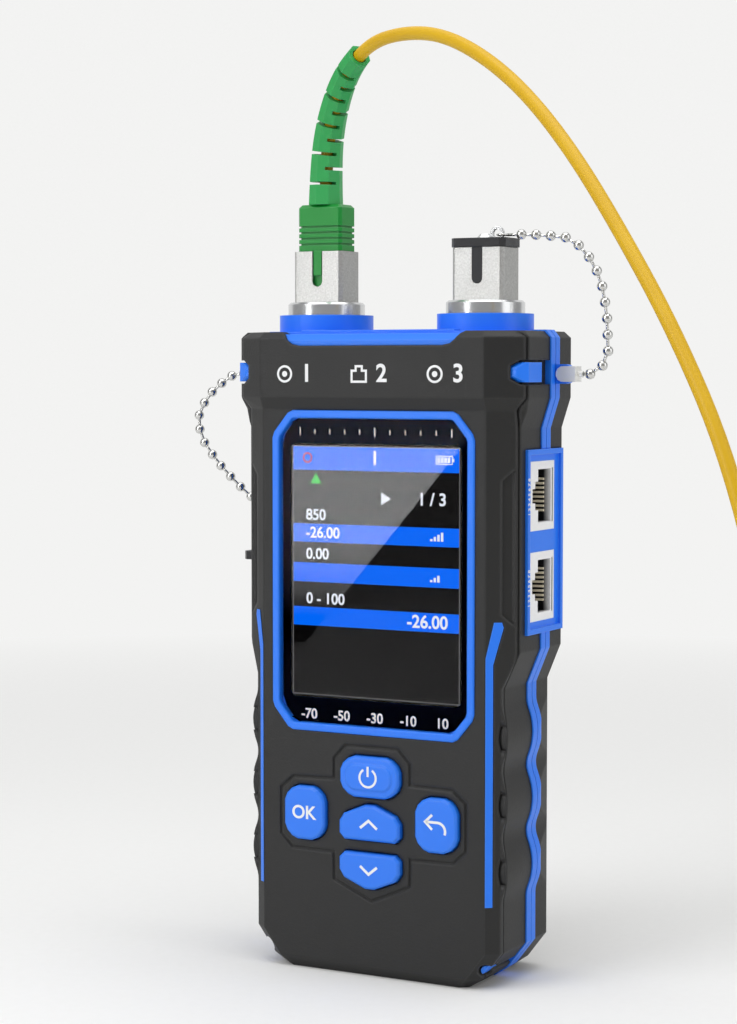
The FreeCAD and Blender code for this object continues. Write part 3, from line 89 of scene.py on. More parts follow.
class MeterColours(bpy.types.PropertyGroup):
    """Colours of the meter's materials."""
    black: colour("Case black", "Matt black skin of the case", "#1B1B1B")
    # painted highlight: the lighter grey that the case's edges are painted, standing in for the
    # light they catch
    black_edge_highlight: colour("Case edge", "Skin where handling has polished its edges", "#4A4A4A")
    blue: colour("Shell blue", "Blue shells, trim and keys", "#1F7AF8")
    # painted highlight: the lighter blue that edges are painted, standing in for the light they
    # catch
    blue_edge_highlight: colour("Blue edge", "Blue plastic at its edges", "#5AA0FF")
    border: colour("Window border", "Ink behind the cover glass", "#030303")
    screen: colour("Screen", "The display between its marks", "#0D0B0C")
    bar: colour("Screen bar", "Lit bars of the display", "#026AFE")
    mark: colour("Screen mark", "Lit figures of the display", "#F0F4FF")
    ready: colour("Screen green", "The display's green pointer", "#35D04A")
    alert: colour("Screen red", "The display's ring", "#B0454A")
    ink: colour("Print ink", "White print on the case and keys", "#F1F2F4")
    nickel: colour("Nickel", "Plated die-cast adapters", "#B8B8B6")
    chrome: colour("Chrome", "Brushed flanges and satin clamps", "#D2D3D4")
    steel: colour("Steel", "Balls, wires and screws", "#CFCFCD")
    ceramic: colour("Ceramic", "Sleeves and ferrules", "#F2F0EA")
    jack: colour("Jack white", "Glass-filled plastic of the network jacks", "#FAFAFA")
    gold: colour("Gold", "Contacts of the network jacks", "#FFF3D6")
    rubber: colour("Cap rubber", "Dust caps", "#1C1C1E")
    plug: colour("Plug green", "Plugs of the lead", "#0C8A30")
    boot: colour("Boot green", "Flexible boots of the lead", "#2AA251")
    cable: colour("Cable yellow", "Jacket of the lead", "#DDB205")
    board: colour("Board green", "Circuit boards", "#175B33")
    foil: colour("Battery foil", "Pouch of the battery", "#B9BDC1")
    floor: colour("Floor", "Floor and backdrop", "#F1F1F0")


class MeterSizes(bpy.types.PropertyGroup):
    """Sizes of the pieces that the frame doesn't give."""
    cable_d: length("Cable", "Diameter of the lead", 3.0)
    ball_d: length("Ball", "Diameter of a chain's balls", 2.4)
    ball_pitch: length("Ball pitch", "Distance between a chain's balls", 3.5)
    wire_d: length("Chain wire", "Diameter of the wire between the balls", 0.7)
    ink_h: length("Ink", "Thickness of printed ink", 0.03)
    edge: length("Edge", "Radius of moulded edges", 0.35)
    label_h: length("Label", "Height of the figures over the ports", 4.0)
    stroke: length("Stroke", "Width of a printed line", 0.62)
    sign_share: number("Key signs", "Share of their drawn size that the keys' signs have", 0.84)
    scale_h: length("Scale figure", "Height of the figures under the display", 2.3)
    number_h: length("Contact number", "Height of the numbers beside the jacks", 1.0)
    frame_rim: length("Frame rim", "Width of the rim round the side jacks", 1.2)
    boot_len: length("Boot", "Length of the boot at the meter", 38.5)
    boot_base: length("Boot's base", "Width of the boot at the plug", 7.5)
    boot_tip: length("Boot's tip", "Width of the boot at its end", 5.2)
    slot_first: length("First slot", "Distance from the plug to the boot's first slot", 4.8)
    slot_pitch: length("Slot pitch", "Distance between the boot's slots", 3.55)
    slot_w: length("Slot", "Width of the boot's slots", 0.6)
    window_rim: length("Window rim", "Width of the blue frame round the window", 1.85)
    corner_w: length("Window corner", "Width of the frame's cut corners", 4.6)
    corner_h: length("Window corner height", "Height of the frame's cut corners", 5.6)
    corner_soft: length("Window corner rounding", "Rounding of the frame's corners", 0.8)
    screen_w: length("Screen width", "Width of the display's picture", 43.2)
    screen_h: length("Screen height", "Height of the display's picture", 57.6)


class MeterStage(bpy.types.PropertyGroup):
    """Camera and lights."""
    camera_x: length("Camera X", "Camera's place to the right", 257.5)
    camera_back: length("Camera distance", "Camera's distance in front", 488.7)
    camera_z: length("Camera height", "Camera's height over the floor", 139.2)
    camera_tilt: number("Camera tilt", "Camera's angle from straight down, in degrees", 86.554)
    camera_turn: number("Camera turn", "Camera's turn round the upright axis, in degrees", 28.603)
    lens: number("Lens", "Focal length in millimetres", 83.95)
    front_power: number("Front light", "Watts of the light at the front left", 2.6)
    card_glow: number("Card glow", "Strength of the card that the display mirrors", 12.0)
    card_back: length("Card distance", "The card's distance in front", 583.5)
    card_left: length("Card's left", "The card's left side", -372.0)
    card_foot: length("Card's foot", "The card's slanted side at the floor", -349.0)
    card_head: length("Card's head", "The card's slanted side at its top", -217.4)
    card_top: length("Card's top", "The card's height", 150.0)
    card_low: length("Card's dark end", "Height where the card's glow starts", 14.0)
    card_full: length("Card's bright end", "Height where the card's glow is full", 56.0)
    side_power: number("Side light", "Watts of the light on the right side", 1.3)
    top_power: number("Top light", "Watts of the light from above", 5.4)
    sky: number("Sky", "Strength of the light from all round", 0.38)
    wall: number("Wall", "Paleness of the room past the paper", 0.88)


def colours():
    return bpy.context.scene.meter_colours


def sizes():
    return bpy.context.scene.meter_sizes


def stage():
    return bpy.context.scene.meter_stage


# ---- materials
# How often a pattern repeats in a metre; 2000 is a grain of half a millimetre.
SPARK_GRAIN = {"Scale": 1900.0, "Detail": 3.0, "Roughness": 0.6}  # as fine as still shows
HAND_SHEEN_AND_HIGHLIGHT = {"Scale": 55.0, "Detail": 4.0}  # broad patches that handling leaves in the gloss; they also break up the painted edge highlight
GLASS_SMEAR = {"Scale": 40.0, "Detail": 3.0}
INK_SPECK = {"Scale": 900.0}
INK_MOTTLE = {"Scale": 1500.0, "Detail": 3.0}
DISPLAY_CELLS = {"Scale": 1150.0}  # coarser than real, so that they show
CAST_SPECKLE = {"Scale": 2300.0, "Detail": 3.0, "Roughness": 0.7}
CERAMIC_GRIND = {"Scale": 2200.0}
GLASS_FIBRE = {"Scale": 1200.0, "Detail": 4.0, "Roughness": 0.7}
RUBBER_PORES = {"Scale": 1100.0, "Detail": 4.0, "Roughness": 0.6}
JACKET_SCUFF = {"Scale": 120.0, "Detail": 3.0}
BOARD_WEAVE = {"Scale": 1400.0}
FROST = {"Scale": 1600.0}
PAPER_FIBRE = {"Scale": 420.0, "Detail": 3.0}
BEVEL_RAYS = 6


def fill(tree, node, inputs):
    """A node's inputs: a socket, or a node's first output, is linked; any other value is set."""
    for name, value in inputs.items():
        socket = node.inputs[name]
        if isinstance(value, bpy.types.Node):
            value = value.outputs[0]
        if isinstance(value, bpy.types.NodeSocket):
            tree.links.new(value, socket)
        else:
            socket.default_value = (*value, 1.0) if socket.type == "RGBA" else value


def add(tree, kind, inputs=None, **settings):
    """A new node with its settings and its inputs."""
    node = tree.nodes.new("ShaderNode" + kind)
    for name, value in settings.items():
        setattr(node, name, value)
    fill(tree, node, inputs or {})
    return node


def material(name, **inputs):
    """A material with these values on its shader's own sockets, and its object coordinates."""
    made = bpy.data.materials.new(name)
    made.use_nodes = True
    tree = made.node_tree
    fill(tree, tree.nodes["Principled BSDF"],
         {key.replace("_", " "): value for key, value in inputs.items()})
    add(tree, "TexCoord")
    return made


def inside(made):
    """A material's tree, its shader and its object coordinates."""
    nodes = made.node_tree.nodes
    return (made.node_tree, nodes["Principled BSDF"],
            nodes["Texture Coordinate"].outputs["Object"])


def relief(tree, shader, pattern, depth, edge=0.0):
    """A pattern as bump on the surface, with edges rounded by the edge radius."""
    inputs = {"Height": pattern, "Distance": depth, "Strength": 1.0}
    if edge:
        inputs["Normal"] = add(tree, "Bevel", {"Radius": edge}, samples=BEVEL_RAYS)
    fill(tree, shader, {"Normal": add(tree, "Bump", inputs)})


def edges(tree, radius):
    """From 0 on a flat stretch to 1 on an edge."""
    turned = add(tree, "VectorMath", {
        0: add(tree, "Bevel", {"Radius": radius}, samples=BEVEL_RAYS),
        1: add(tree, "NewGeometry").outputs["Normal"]}, operation="DOT_PRODUCT")
    return add(tree, "MapRange", {
        "Value": turned.outputs["Value"], "From Min": 0.995, "From Max": 0.86})


def grained(name, pattern, rough, tones=None, depth=0.0, edge=0.0, **inputs):
    """A material whose gloss, and if given its colour and relief, follow one pattern."""
    made = material(name, **inputs)
    tree, shader, where = inside(made)
    grain = add(tree, "TexNoise", {"Vector": where, **pattern})
    fill(tree, shader, {"Roughness": add(tree, "MapRange", {
        "Value": grain, "To Min": rough[0], "To Max": rough[1]})})
    if tones:
        mix = add(tree, "Mix", {0: grain, 6: tones[0], 7: tones[1]}, data_type="RGBA")
        fill(tree, shader, {"Base Color": mix.outputs[2]})
    if depth:
        relief(tree, shader, grain, depth, edge)
    return made


def moulded(name, base, edge_highlight_tint, rough, grain, edge):
    """Moulded plastic: spark-eroded grain, gloss that varies a little, and edges painted lighter
    in broad patches as a painted highlight.
    """
    made = material(name, IOR=1.46)
    tree, shader, where = inside(made)
    broad = add(tree, "TexNoise", {"Vector": where, **HAND_SHEEN_AND_HIGHLIGHT})
    fine = add(tree, "TexNoise", {"Vector": where, **SPARK_GRAIN})
    highlight_patches = add(tree, "MapRange", {"Value": broad, "To Min": 0.1, "To Max": 0.75})
    # painted highlight: edges take the lighter colour, in broad patches
    painted_highlight = add(tree, "Math", {0: edges(tree, edge), 1: highlight_patches}, operation="MULTIPLY")
    skin = add(tree, "Mix", {0: painted_highlight, 6: base, 7: edge_highlight_tint}, data_type="RGBA")
    patches = add(tree, "MapRange", {
        "Value": broad, "To Min": rough - 0.06, "To Max": rough + 0.06})
    specks = add(tree, "MapRange", {"Value": fine, "To Min": -0.05, "To Max": 0.05})
    fill(tree, shader, {
        "Base Color": skin.outputs[2],
        "Roughness": add(tree, "Math", {0: patches, 1: specks}, operation="ADD")})
    relief(tree, shader, fine, grain, edge)
    return made


def case_abs():
    """ABS with a matt grain, as on the case's black skin."""
    c = colours()
    return moulded("abs_black_matt", c.black, c.black_edge_highlight, 0.5, 0.045 * MM, 2.4 * sizes().edge)


def shell_abs():
    """ABS in blue with a satin grain: shells, seam, strips, frames and port plate."""
    c = colours()
    return moulded("abs_blue_satin", c.blue, c.blue_edge_highlight, 0.38, 0.02 * MM, sizes().edge)


def key_silicone():
    """Keys of blue polyurethane-coated silicone: softer gloss, finer grain, round edges."""
    c = colours()
    made = moulded("silicone_key_blue", c.blue, c.blue_edge_highlight, 0.42, 0.012 * MM, 2 * sizes().edge)
    tree, shader, _ = inside(made)
    fill(tree, shader, {"Coat Weight": 0.15})
    return made


def plug_pbt():
    """Green PBT of the plugs, crisp and half glossy."""
    # the lighter green at the plugs' edges is a painted highlight
    return moulded("pbt_green", colours().plug, linear("#58B874"), 0.34, 0.012 * MM, 0.25 * MM)


def boot_tpe():
    """Green thermoplastic rubber of the boots, soft to the touch and slightly clear."""
    # the lighter green at the boots' edges is a painted highlight
    made = moulded("tpe_green", colours().boot, linear("#62C583"), 0.48, 0.02 * MM, 0.3 * MM)
    tree, shader, _ = inside(made)
    fill(tree, shader, {"Subsurface Weight": 0.12, "Subsurface Scale": 1.0 * MM})
    return made


def cover_glass():
    """Chemically hardened cover glass, polished and coated against reflections."""
    return grained("cover_glass", GLASS_SMEAR, (0.0, 0.008), Base_Color=(0.96, 0.965, 0.97),
                   IOR=1.08, Transmission_Weight=1.0)


def border_ink():
    """Black ink printed behind the glass, quite even."""
    return grained("glass_ink_black", INK_SPECK, (0.3, 0.4),
                   (colours().border, linear("#080808")), IOR=1.2)


def print_ink():
    """White screen-print ink, a little uneven in gloss and height."""
    return grained("print_ink_white", INK_MOTTLE, (0.4, 0.6), depth=0.01 * MM,
                   Base_Color=colours().ink, IOR=1.5)


def sleeve_ceramic():
    """Zirconia of sleeves and ferrules: dense, white and slightly clear."""
    return grained("zirconia_white", CERAMIC_GRIND, (0.12, 0.22), Base_Color=colours().ceramic,
                   IOR=2.1, Subsurface_Weight=0.2, Subsurface_Scale=0.4 * MM)


def cap_rubber():
    """Black silicone rubber of the dust caps, dusty in its pores."""
    return grained("silicone_black", RUBBER_PORES, (0.5, 0.7),
                   (colours().rubber, linear("#2B2B2D")), 0.02 * MM, 0.3 * MM, IOR=1.43,
                   Sheen_Weight=0.25, Sheen_Roughness=0.5)


def cable_jacket():
    """Yellow LSZH jacket of the lead, lightly scuffed."""
    return grained("jacket_yellow", JACKET_SCUFF, (0.38, 0.5),
                   (colours().cable, linear("#D2A404")), IOR=1.42)


def led_lens():
    """Smoked and frosted polycarbonate of the jacks' light windows."""
    return grained("polycarbonate_smoked", FROST, (0.3, 0.5),
                   (linear("#5E6360"), linear("#7A807C")), IOR=1.58, Transmission_Weight=0.3)


def jack_pbt(name="pbt_white_top", axis="Z", node="top_jack"):
    """Glass-filled PBT: white at the mouth's face, with painted shade that darkens it with depth,
    where no light falls.
    """
    made = grained(name, GLASS_FIBRE, (0.3, 0.5), (linear("#EEEFF1"), colours().jack),
                   0.012 * MM, 0.2 * MM, IOR=1.57)
    tree, shader, where = inside(made)
    face = getattr(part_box(node)[1], axis.lower())
    depth = add(tree, "MapRange", {
        "Value": add(tree, "SeparateXYZ", {"Vector": where}).outputs[axis],
        "From Min": face - 0.3 * MM, "From Max": face - 1.8 * MM})
    white = shader.inputs["Base Color"].links[0].from_socket
    # painted shade: the plastic goes near black towards the inside of the mouth
    shade = add(tree, "Mix", {0: depth, 6: white, 7: linear("#161617")}, data_type="RGBA")
    fill(tree, shader, {"Base Color": shade.outputs[2]})
    return made


def side_jack_pbt():
    """The same plastic in the jacks of the right side, whose mouths face sideways."""
    return jack_pbt("pbt_white_side", "X", "side_jack_upper")


def lcd_panel():
    """The display's dark glass: fine cells in rows and columns, with a little light leaking."""
    made = material("lcd_panel_dark", Roughness=0.0, IOR=PANEL_IOR, Emission_Strength=0.35)
    tree, shader, where = inside(made)
    rows, columns = (add(tree, "TexWave", {"Vector": where, **DISPLAY_CELLS},
                         wave_type="BANDS", bands_direction=way) for way in ("Z", "X"))
    cells = add(tree, "Math", {0: rows.outputs["Fac"], 1: columns.outputs["Fac"]},
                operation="MULTIPLY")
    tone = add(tree, "Mix", {0: cells, 6: linear("#080707"), 7: colours().screen},
               data_type="RGBA").outputs[2]
    fill(tree, shader, {"Base Color": tone, "Emission Color": tone})
    return made


def lit_cells(name, tint, strength):
    """A lit part of the display, with the cells' fine rows in it."""
    made = material(name, Base_Color=(0.0, 0.0, 0.0), Roughness=0.0, IOR=PANEL_IOR,
                    Emission_Strength=strength)
    tree, shader, where = inside(made)
    rows = add(tree, "TexWave", {"Vector": where, **DISPLAY_CELLS},
               wave_type="BANDS", bands_direction="Z")
    dim = tuple(0.92 * part for part in tint)
    glow = add(tree, "Mix", {0: rows.outputs["Fac"], 6: dim, 7: tint}, data_type="RGBA")
    fill(tree, shader, {"Emission Color": glow.outputs[2]})
    return made


def plated(name, skin, rough, grain, scale, edge, metallic=1.0):
    """Plated metal: a cast or drawn grain under the plating and a varied shine."""
    return grained(name, {"Scale": scale, "Detail": 4.0, "Roughness": 0.6},
                   (rough - 0.07, rough + 0.07), None, grain, edge, Base_Color=skin,
                   Metallic=metallic)


def nickel_casting():
    """Nickel-plated zinc casting of the adapters: a satin skin, speckled by the mould's grain."""
    made = plated("nickel_on_zinc", colours().nickel, 0.4, 0.045 * MM, 1500.0, 0.2 * MM)
    tree, shader, where = inside(made)
    sharper = add(tree, "MapRange", {
        "Value": add(tree, "TexNoise", {"Vector": where, **CAST_SPECKLE}),
        "From Min": 0.35, "From Max": 0.65})
    mix = add(tree, "Mix", {0: sharper, 6: linear("#B0B0AE"), 7: linear("#C6C6C4")},
              data_type="RGBA")
    fill(tree, shader, {"Base Color": mix.outputs[2]})
    return made


def brushed_chrome():
    """Chrome-plated brass of the flanges and rings, turned and finely brushed."""
    return plated("chrome_on_brass", colours().chrome, 0.22, 0.006 * MM, 1400.0, 0.15 * MM)


def satin_nickel():
    """Satin nickel over the folded brass of the chains' clamps: pale, with a wide soft shine."""
    return plated("satin_nickel", linear("#F2F2F0"), 0.35, 0.01 * MM, 1100.0, 0.25 * MM, 0.35)


def ball_steel():
    """Nickel-plated steel of the ball chains."""
    return plated("nickel_on_steel", colours().steel, 0.14, 0.004 * MM, 2500.0, 0.0)


def screw_steel():
    """Zinc-plated steel of screws, springs and socket."""
    return plated("zinc_on_steel", colours().steel, 0.28, 0.01 * MM, 1800.0, 0.1 * MM)


def contact_gold():
    """Gold flash over nickel on the jacks' springs, which stay pale deep in the mouth."""
    return plated("gold_on_nickel", colours().gold, 0.4, 0.004 * MM, 2000.0, 0.0, 0.1)


def battery_foil():
    """Aluminium-laminate foil of the battery's pouch, slightly creased."""
    return plated("pouch_foil", colours().foil, 0.34, 0.15 * MM, 160.0, 0.3 * MM)


def module_black():
    """Black anodised housings inside the case."""
    return plated("anodised_black", linear("#1A1A1C"), 0.42, 0.01 * MM, 1500.0, 0.2 * MM)


def solder_resist():
    """Green solder resist over glass cloth, its weave just showing."""
    made = material("solder_resist_green", IOR=1.55, Coat_Weight=0.4)
    tree, shader, where = inside(made)
    weave = add(tree, "TexChecker", {"Vector": where, "Color1": colours().board,
                                     "Color2": linear("#1C6A3C"), **BOARD_WEAVE})
    gloss = add(tree, "MapRange", {"Value": weave.outputs["Fac"], "To Min": 0.3, "To Max": 0.4})
    fill(tree, shader, {"Base Color": weave, "Roughness": gloss})
    return made


def studio_paper():
    """Matt pale paper; further out it shows at its own paleness to the eye and in mirrors."""
    made = grained("paper_pale", PAPER_FIBRE, (0.75, 0.9), (colours().floor, linear("#F5F5F4")),
                   IOR=1.4)
    tree, shader, where = inside(made)
    path = add(tree, "LightPath").outputs
    mirrored = add(tree, "Math", {0: path["Is Glossy Ray"], 1: path["Is Transmission Ray"]},
                   operation="ADD")
    far = add(tree, "MapRange", {
        "Value": add(tree, "SeparateXYZ", {"Vector": where}).outputs["Y"],
        "From Min": 0.15, "From Max": 1.6})
    away = add(tree, "VectorMath", {0: where}, operation="LENGTH").outputs["Value"]
    seen = add(tree, "MapRange", {"Value": away, "From Min": 0.1, "From Max": 0.7})
    share = add(tree, "Math", {0: mirrored, 1: far}, operation="MULTIPLY")
    share = add(tree, "Math", {0: path["Is Camera Ray"], 1: seen, 2: share},
                operation="MULTIPLY_ADD", use_clamp=True)
    glow = add(tree, "Emission", {
        "Color": shader.inputs["Base Color"].links[0].from_socket, "Strength": 1.0})
    fill(tree, tree.nodes["Material Output"], {
        "Surface": add(tree, "MixShader", {0: share, 1: shader, 2: glow})})
    return made


FINISHES = {
    case_abs: ("front_cover", "side_band", "rear_cover"),
    shell_abs: ("front_shell", "rear_shell", "port_plate", "accent_strip_left",
                "accent_strip_right", "corner_tab_left", "corner_tab_right", "screen_bezel",
                "side_bezel"),
    key_silicone: ("power_key", "ok_key", "back_key", "up_key", "down_key"),
    cover_glass: ("screen_glass",),
    lcd_panel: ("display_module",),
    solder_resist: ("main_board", "jack_board"),
    battery_foil: ("battery_pack",),
    screw_steel: ("dome_contacts", "case_screws", "charging_socket"),
    jack_pbt: ("top_jack",),
    side_jack_pbt: ("side_jack_lower", "side_jack_upper"),
    contact_gold: ("top_jack_contacts", "side_jack_contacts"),
    nickel_casting: ("power_port_adapter", "laser_port_adapter"),
    brushed_chrome: ("power_port_flange", "laser_port_flange", "power_cap_ring",
                     "laser_cap_ring"),
    satin_nickel: ("power_clamp", "laser_clamp"),
    sleeve_ceramic: ("power_port_sleeve", "laser_port_sleeve", "lead_ferrule", "far_ferrule"),
    cap_rubber: ("power_cap", "laser_cap"),
    plug_pbt: ("lead_plug", "far_plug"),
    boot_tpe: ("lead_boot", "far_boot"),
    module_black: ("buzzer", "detector_module", "laser_module"),
}


# ---- small builders
CAPITAL = 0.71   # height of a capital in the built-in face, as a share of the text's size
BOLDER = 0.03    # how much its strokes grow, as a share of their height
MITRE = 0.3      # least cosine for which a pen line's corner is drawn in full
FLAT = Matrix.Identity(4)  # for parts that are made in their place


def placed(name, data):
    """An object in the scene with this data."""
    made = bpy.data.objects.new(name, data)
    bpy.context.scene.collection.objects.link(made)
    return made


def piece(name, mesh, finish, body):
    """A mesh as a finished piece: its material and, if any, its body."""
    mesh.name = name
    made = placed(name, mesh)
    mesh.materials.clear()
    mesh.materials.append(finish)
    if body:
        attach(made, body)
    return made


def middle(node):
    """The middle of a node's box."""
    low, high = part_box(node)
    return (low + high) / 2


def mesh_of(made):
    """A bmesh, or a curve or text, as a mesh; what it was made from is dropped."""
    if isinstance(made, bmesh.types.BMesh):
        mesh = bpy.data.meshes.new("mesh")
        made.to_mesh(mesh)
        made.free()
        return mesh
    holder = bpy.data.objects.new("holder", made)
    mesh = bpy.data.meshes.new_from_object(holder)
    bpy.data.objects.remove(holder)
    bpy.data.curves.remove(made)
    return mesh


def drawn(*rings):
    """A flat shape filled between closed rings in the xy plane; a ring within one is a hole."""
    curve = bpy.data.curves.new("drawn", "CURVE")
    curve.dimensions = "2D"
    curve.fill_mode = "BOTH"
    curve.extrude = sizes().ink_h / 2
    for ring in rings:
        spline = curve.splines.new("POLY")
        spline.points.add(len(ring) - 1)
        for point, (x, y) in zip(spline.points, ring):
            point.co = (x, y, 0.0, 1.0)
        spline.use_cyclic_u = True
    return mesh_of(curve)


def written(text, height):
    """Figures in the built-in sans face, centred on the origin."""
    curve = bpy.data.curves.new("written", "FONT")
    curve.body = text
    curve.size = height / CAPITAL
    curve.align_x = "CENTER"
    curve.align_y = "CENTER"
    curve.extrude = sizes().ink_h / 2
    curve.offset = height * BOLDER
    return mesh_of(curve)


def smooth_line(name, points, radius=0.0, closed=False):
    """A smooth curve led by these points, as a tube if it has a radius."""
    curve = bpy.data.curves.new(name, "CURVE")
    curve.dimensions = "3D"
    curve.bevel_depth = radius
    spline = curve.splines.new("NURBS")
    spline.points.add(len(points) - 1)
    for point, co in zip(spline.points, points):
        point.co = (*co, 1.0)
    spline.order_u = 4 if closed else 3
    spline.use_cyclic_u = closed
    spline.use_endpoint_u = not closed
    return curve


def joined(*parts):
    """One mesh out of pairs of a mesh and the matrix that places it."""
    shape = bmesh.new()
    for mesh, matrix in parts:
        mesh.transform(matrix)
        shape.from_mesh(mesh)
        bpy.data.meshes.remove(mesh)
    return mesh_of(shape)


def printed(name, parts, place, finish, body=BODY):
    """Flat parts, drawn round the origin, as one piece at its place."""
    mesh = joined(*parts)
    mesh.transform(place)
    return piece(name, mesh, finish, body)


def at(x, y):
    return Matrix.Translation((x, y, 0.0))


def on_front(x, y, z):
    """From the drawing plane to a face that looks to the front, ink just on it."""
    turn = Matrix(((1, 0, 0), (0, 0, -1), (0, 1, 0))).to_4x4()
    return Matrix.Translation((x, y - sizes().ink_h / 2, z)) @ turn


def on_right(x, y, z):
    """From the drawing plane to the right side, reading upwards."""
    turn = Matrix(((0, 0, 1), (0, -1, 0), (1, 0, 0))).to_4x4()
    return Matrix.Translation((x + sizes().ink_h / 2, y, z)) @ turn


def rectangle(x0, y0, x1, y1):
    return [(x0, y0), (x1, y0), (x1, y1), (x0, y1)]


def panel(width, height, rim=0.0):
    """A rectangle round the origin, less a rim."""
    x, y = width / 2 - rim, height / 2 - rim
    return rectangle(-x, -y, x, y)


def circle(radius, count=32, start=0.0, sweep=2 * math.pi, x=0.0, y=0.0):
    """Points round a circle, or along an arc with both of its ends."""
    return [(x + radius * math.cos(start + sweep * i / count),
             y + radius * math.sin(start + sweep * i / count))
            for i in range(count + (sweep < 2 * math.pi))]


def softened(outline, reach):
    """A closed outline with each corner cut off by the same reach along both of its sides."""
    ring = []
    for i, corner in enumerate(outline):
        for other in (outline[i - 1], outline[(i + 1) % len(outline)]):
            share = reach / math.dist(corner, other)
            ring.append(tuple(Vector(corner).lerp(Vector(other), share)))
    return ring


def stroked(points, width):
    """The outline of a pen line along open points, with square ends and mitred corners."""
    points = [Vector(p) for p in points]
    left, right = [], []
    for i, p in enumerate(points):
        before = (p - points[i - 1]).normalized() if i else None
        after = (points[i + 1] - p).normalized() if i + 1 < len(points) else None
        before, after = before or after, after or before
        across = (before + after).normalized().orthogonal()
        reach = width / 2 / max(across.dot(before.orthogonal()), MITRE)
        left.append(tuple(p + across * reach))
        right.append(tuple(p - across * reach))
    return left + right[::-1]


def ball(radius, where):
    shape = bmesh.new()
    bmesh.ops.create_uvsphere(shape, u_segments=16, v_segments=10, radius=radius,
                              matrix=Matrix.Translation(where))
    for face in shape.faces:
        face.smooth = True
    return mesh_of(shape)


def turned(centre, axis):
    """A place at this centre whose Z looks along the axis."""
    return Matrix.Translation(centre) @ axis.to_track_quat("Z", "Y").to_matrix().to_4x4()


def wire(start, end, radius):
    shape = bmesh.new()
    run = end - start
    bmesh.ops.create_cone(shape, cap_ends=True, segments=10, radius1=radius, radius2=radius,
                          depth=run.length, matrix=turned((start + end) / 2, run))
    for face in shape.faces:
        face.smooth = len(face.verts) == 4
    return mesh_of(shape)


# ---- lead
LEAD_HEADING = math.radians(-30.0)
LEAD_ROUTE = (
    # (along the lead's heading, height) in millimetres, from the plug to the coil
    (0.0, 177.3), (0.0, 187.5), (2.8, 198.0), (9.2, 207.2), (19.7, 212.7), (33.7, 213.4),
    (49.5, 211.2), (66.0, 204.6), (82.0, 195.0), (98.0, 181.6), (113.5, 165.3), (129.5, 146.8),
    (145.0, 124.5), (156.0, 98.0), (161.5, 70.0), (163.0, 43.0), (165.5, 23.0), (173.0, 9.4),
    (187.0, 4.6),
)
CABLE_BACK = 0.1 * MM  # how far the cable leaves behind the plug's middle
BOOT_KNOTS = 9  # knots of the route that lead the boot's line
BOOT_STEP = 0.5 * MM
BOOT_SLOTS = ((-1, 0.08), (1, 0.3))  # by turns: side, and how far past the middle in widths
SLOT_GROWTH = 0.8  # how much wider a slot is at the boot's tip, as a share
BORE_PLAY = 0.4 * MM
PAST = 1.0 * MM  # how far the bore's cutter stands out of each end
COIL_START = math.radians(-120.0)
COIL_LAYS = (
    # (turn at which a lay starts, radius, height) in millimetres
    (0.0, 18.0, 4.6), (0.9, 15.0, 4.6), (1.9, 15.0, 1.6), (2.9, 18.0, 1.6), (3.9, 21.0, 1.6),
)
LAY_CHANGE = 0.24  # turns in which the coil goes from one lay to the next
COIL_TURNS = 5.28
COIL_STEPS = 16
TAIL_KNOTS = (
    # (out from the coil's side, along it, height) in millimetres, to the far boot
    (0.0, 1.5, 1.6), (0.0, 9.5, 2.3), (0.0, 16.0, 3.8), (0.0, 23.0, 3.8),
)


def coil_lay(turn):
    """Radius and height of the coil after so many turns, easing from one lay to the next."""
    start, radius, height = COIL_LAYS[0]
    for begin, next_radius, next_height in COIL_LAYS[1:]:
        share = min(max((turn - begin) / LAY_CHANGE + 0.5, 0.0), 1.0)
        share = share * share * (3 - 2 * share)
        radius += (next_radius - radius) * share
        height += (next_height - height) * share
    return radius * MM, height * MM


def lead_points():
    """The points that lead the lead: over from its plug, down to the coil, round it and out."""
    port = middle("lead_plug")
    port.y, port.z = port.y + CABLE_BACK, 0.0
    run = Vector((math.cos(LEAD_HEADING), math.sin(LEAD_HEADING), 0.0))
    points = [port + run * along * MM + Vector((0, 0, z * MM)) for along, z in LEAD_ROUTE]
    centre = middle("lead_coil")
    for step in range(1, round(COIL_TURNS * COIL_STEPS)):
        turn = step / COIL_STEPS
        radius, height = coil_lay(turn)
        angle = COIL_START + turn * 2 * math.pi
        points.append(Vector((centre.x + radius * math.cos(angle),
                              centre.y + radius * math.sin(angle), height)))
    side = COIL_LAYS[-1][1]
    return points + [Vector((centre.x + (side + out) * MM, centre.y + along * MM, up * MM))
                     for out, along, up in TAIL_KNOTS]


def boot_line(points, reach):
    """The lead's middle line as far as the reach, as evenly set points."""
    mesh = mesh_of(smooth_line("line", points[:BOOT_KNOTS]))
    line = evenly([vertex.co.copy() for vertex in mesh.vertices], BOOT_STEP)
    bpy.data.meshes.remove(mesh)
    return line[:round(reach / BOOT_STEP) + 1]


def places_along(line):
    """A place at each point of the lead's line: Z runs along it, and X across its bend."""
    across = Vector((-math.sin(LEAD_HEADING), math.cos(LEAD_HEADING), 0.0))
    places = []
    for before, here, after in zip(line[:1] + line, line, line[1:] + line[-1:]):
        along = (after - before).normalized()
        across = (across - along * across.dot(along)).normalized()
        turn = Matrix((across, along.cross(across), along)).transposed().to_4x4()
        places.append(Matrix.Translation(here) @ turn)
    return places


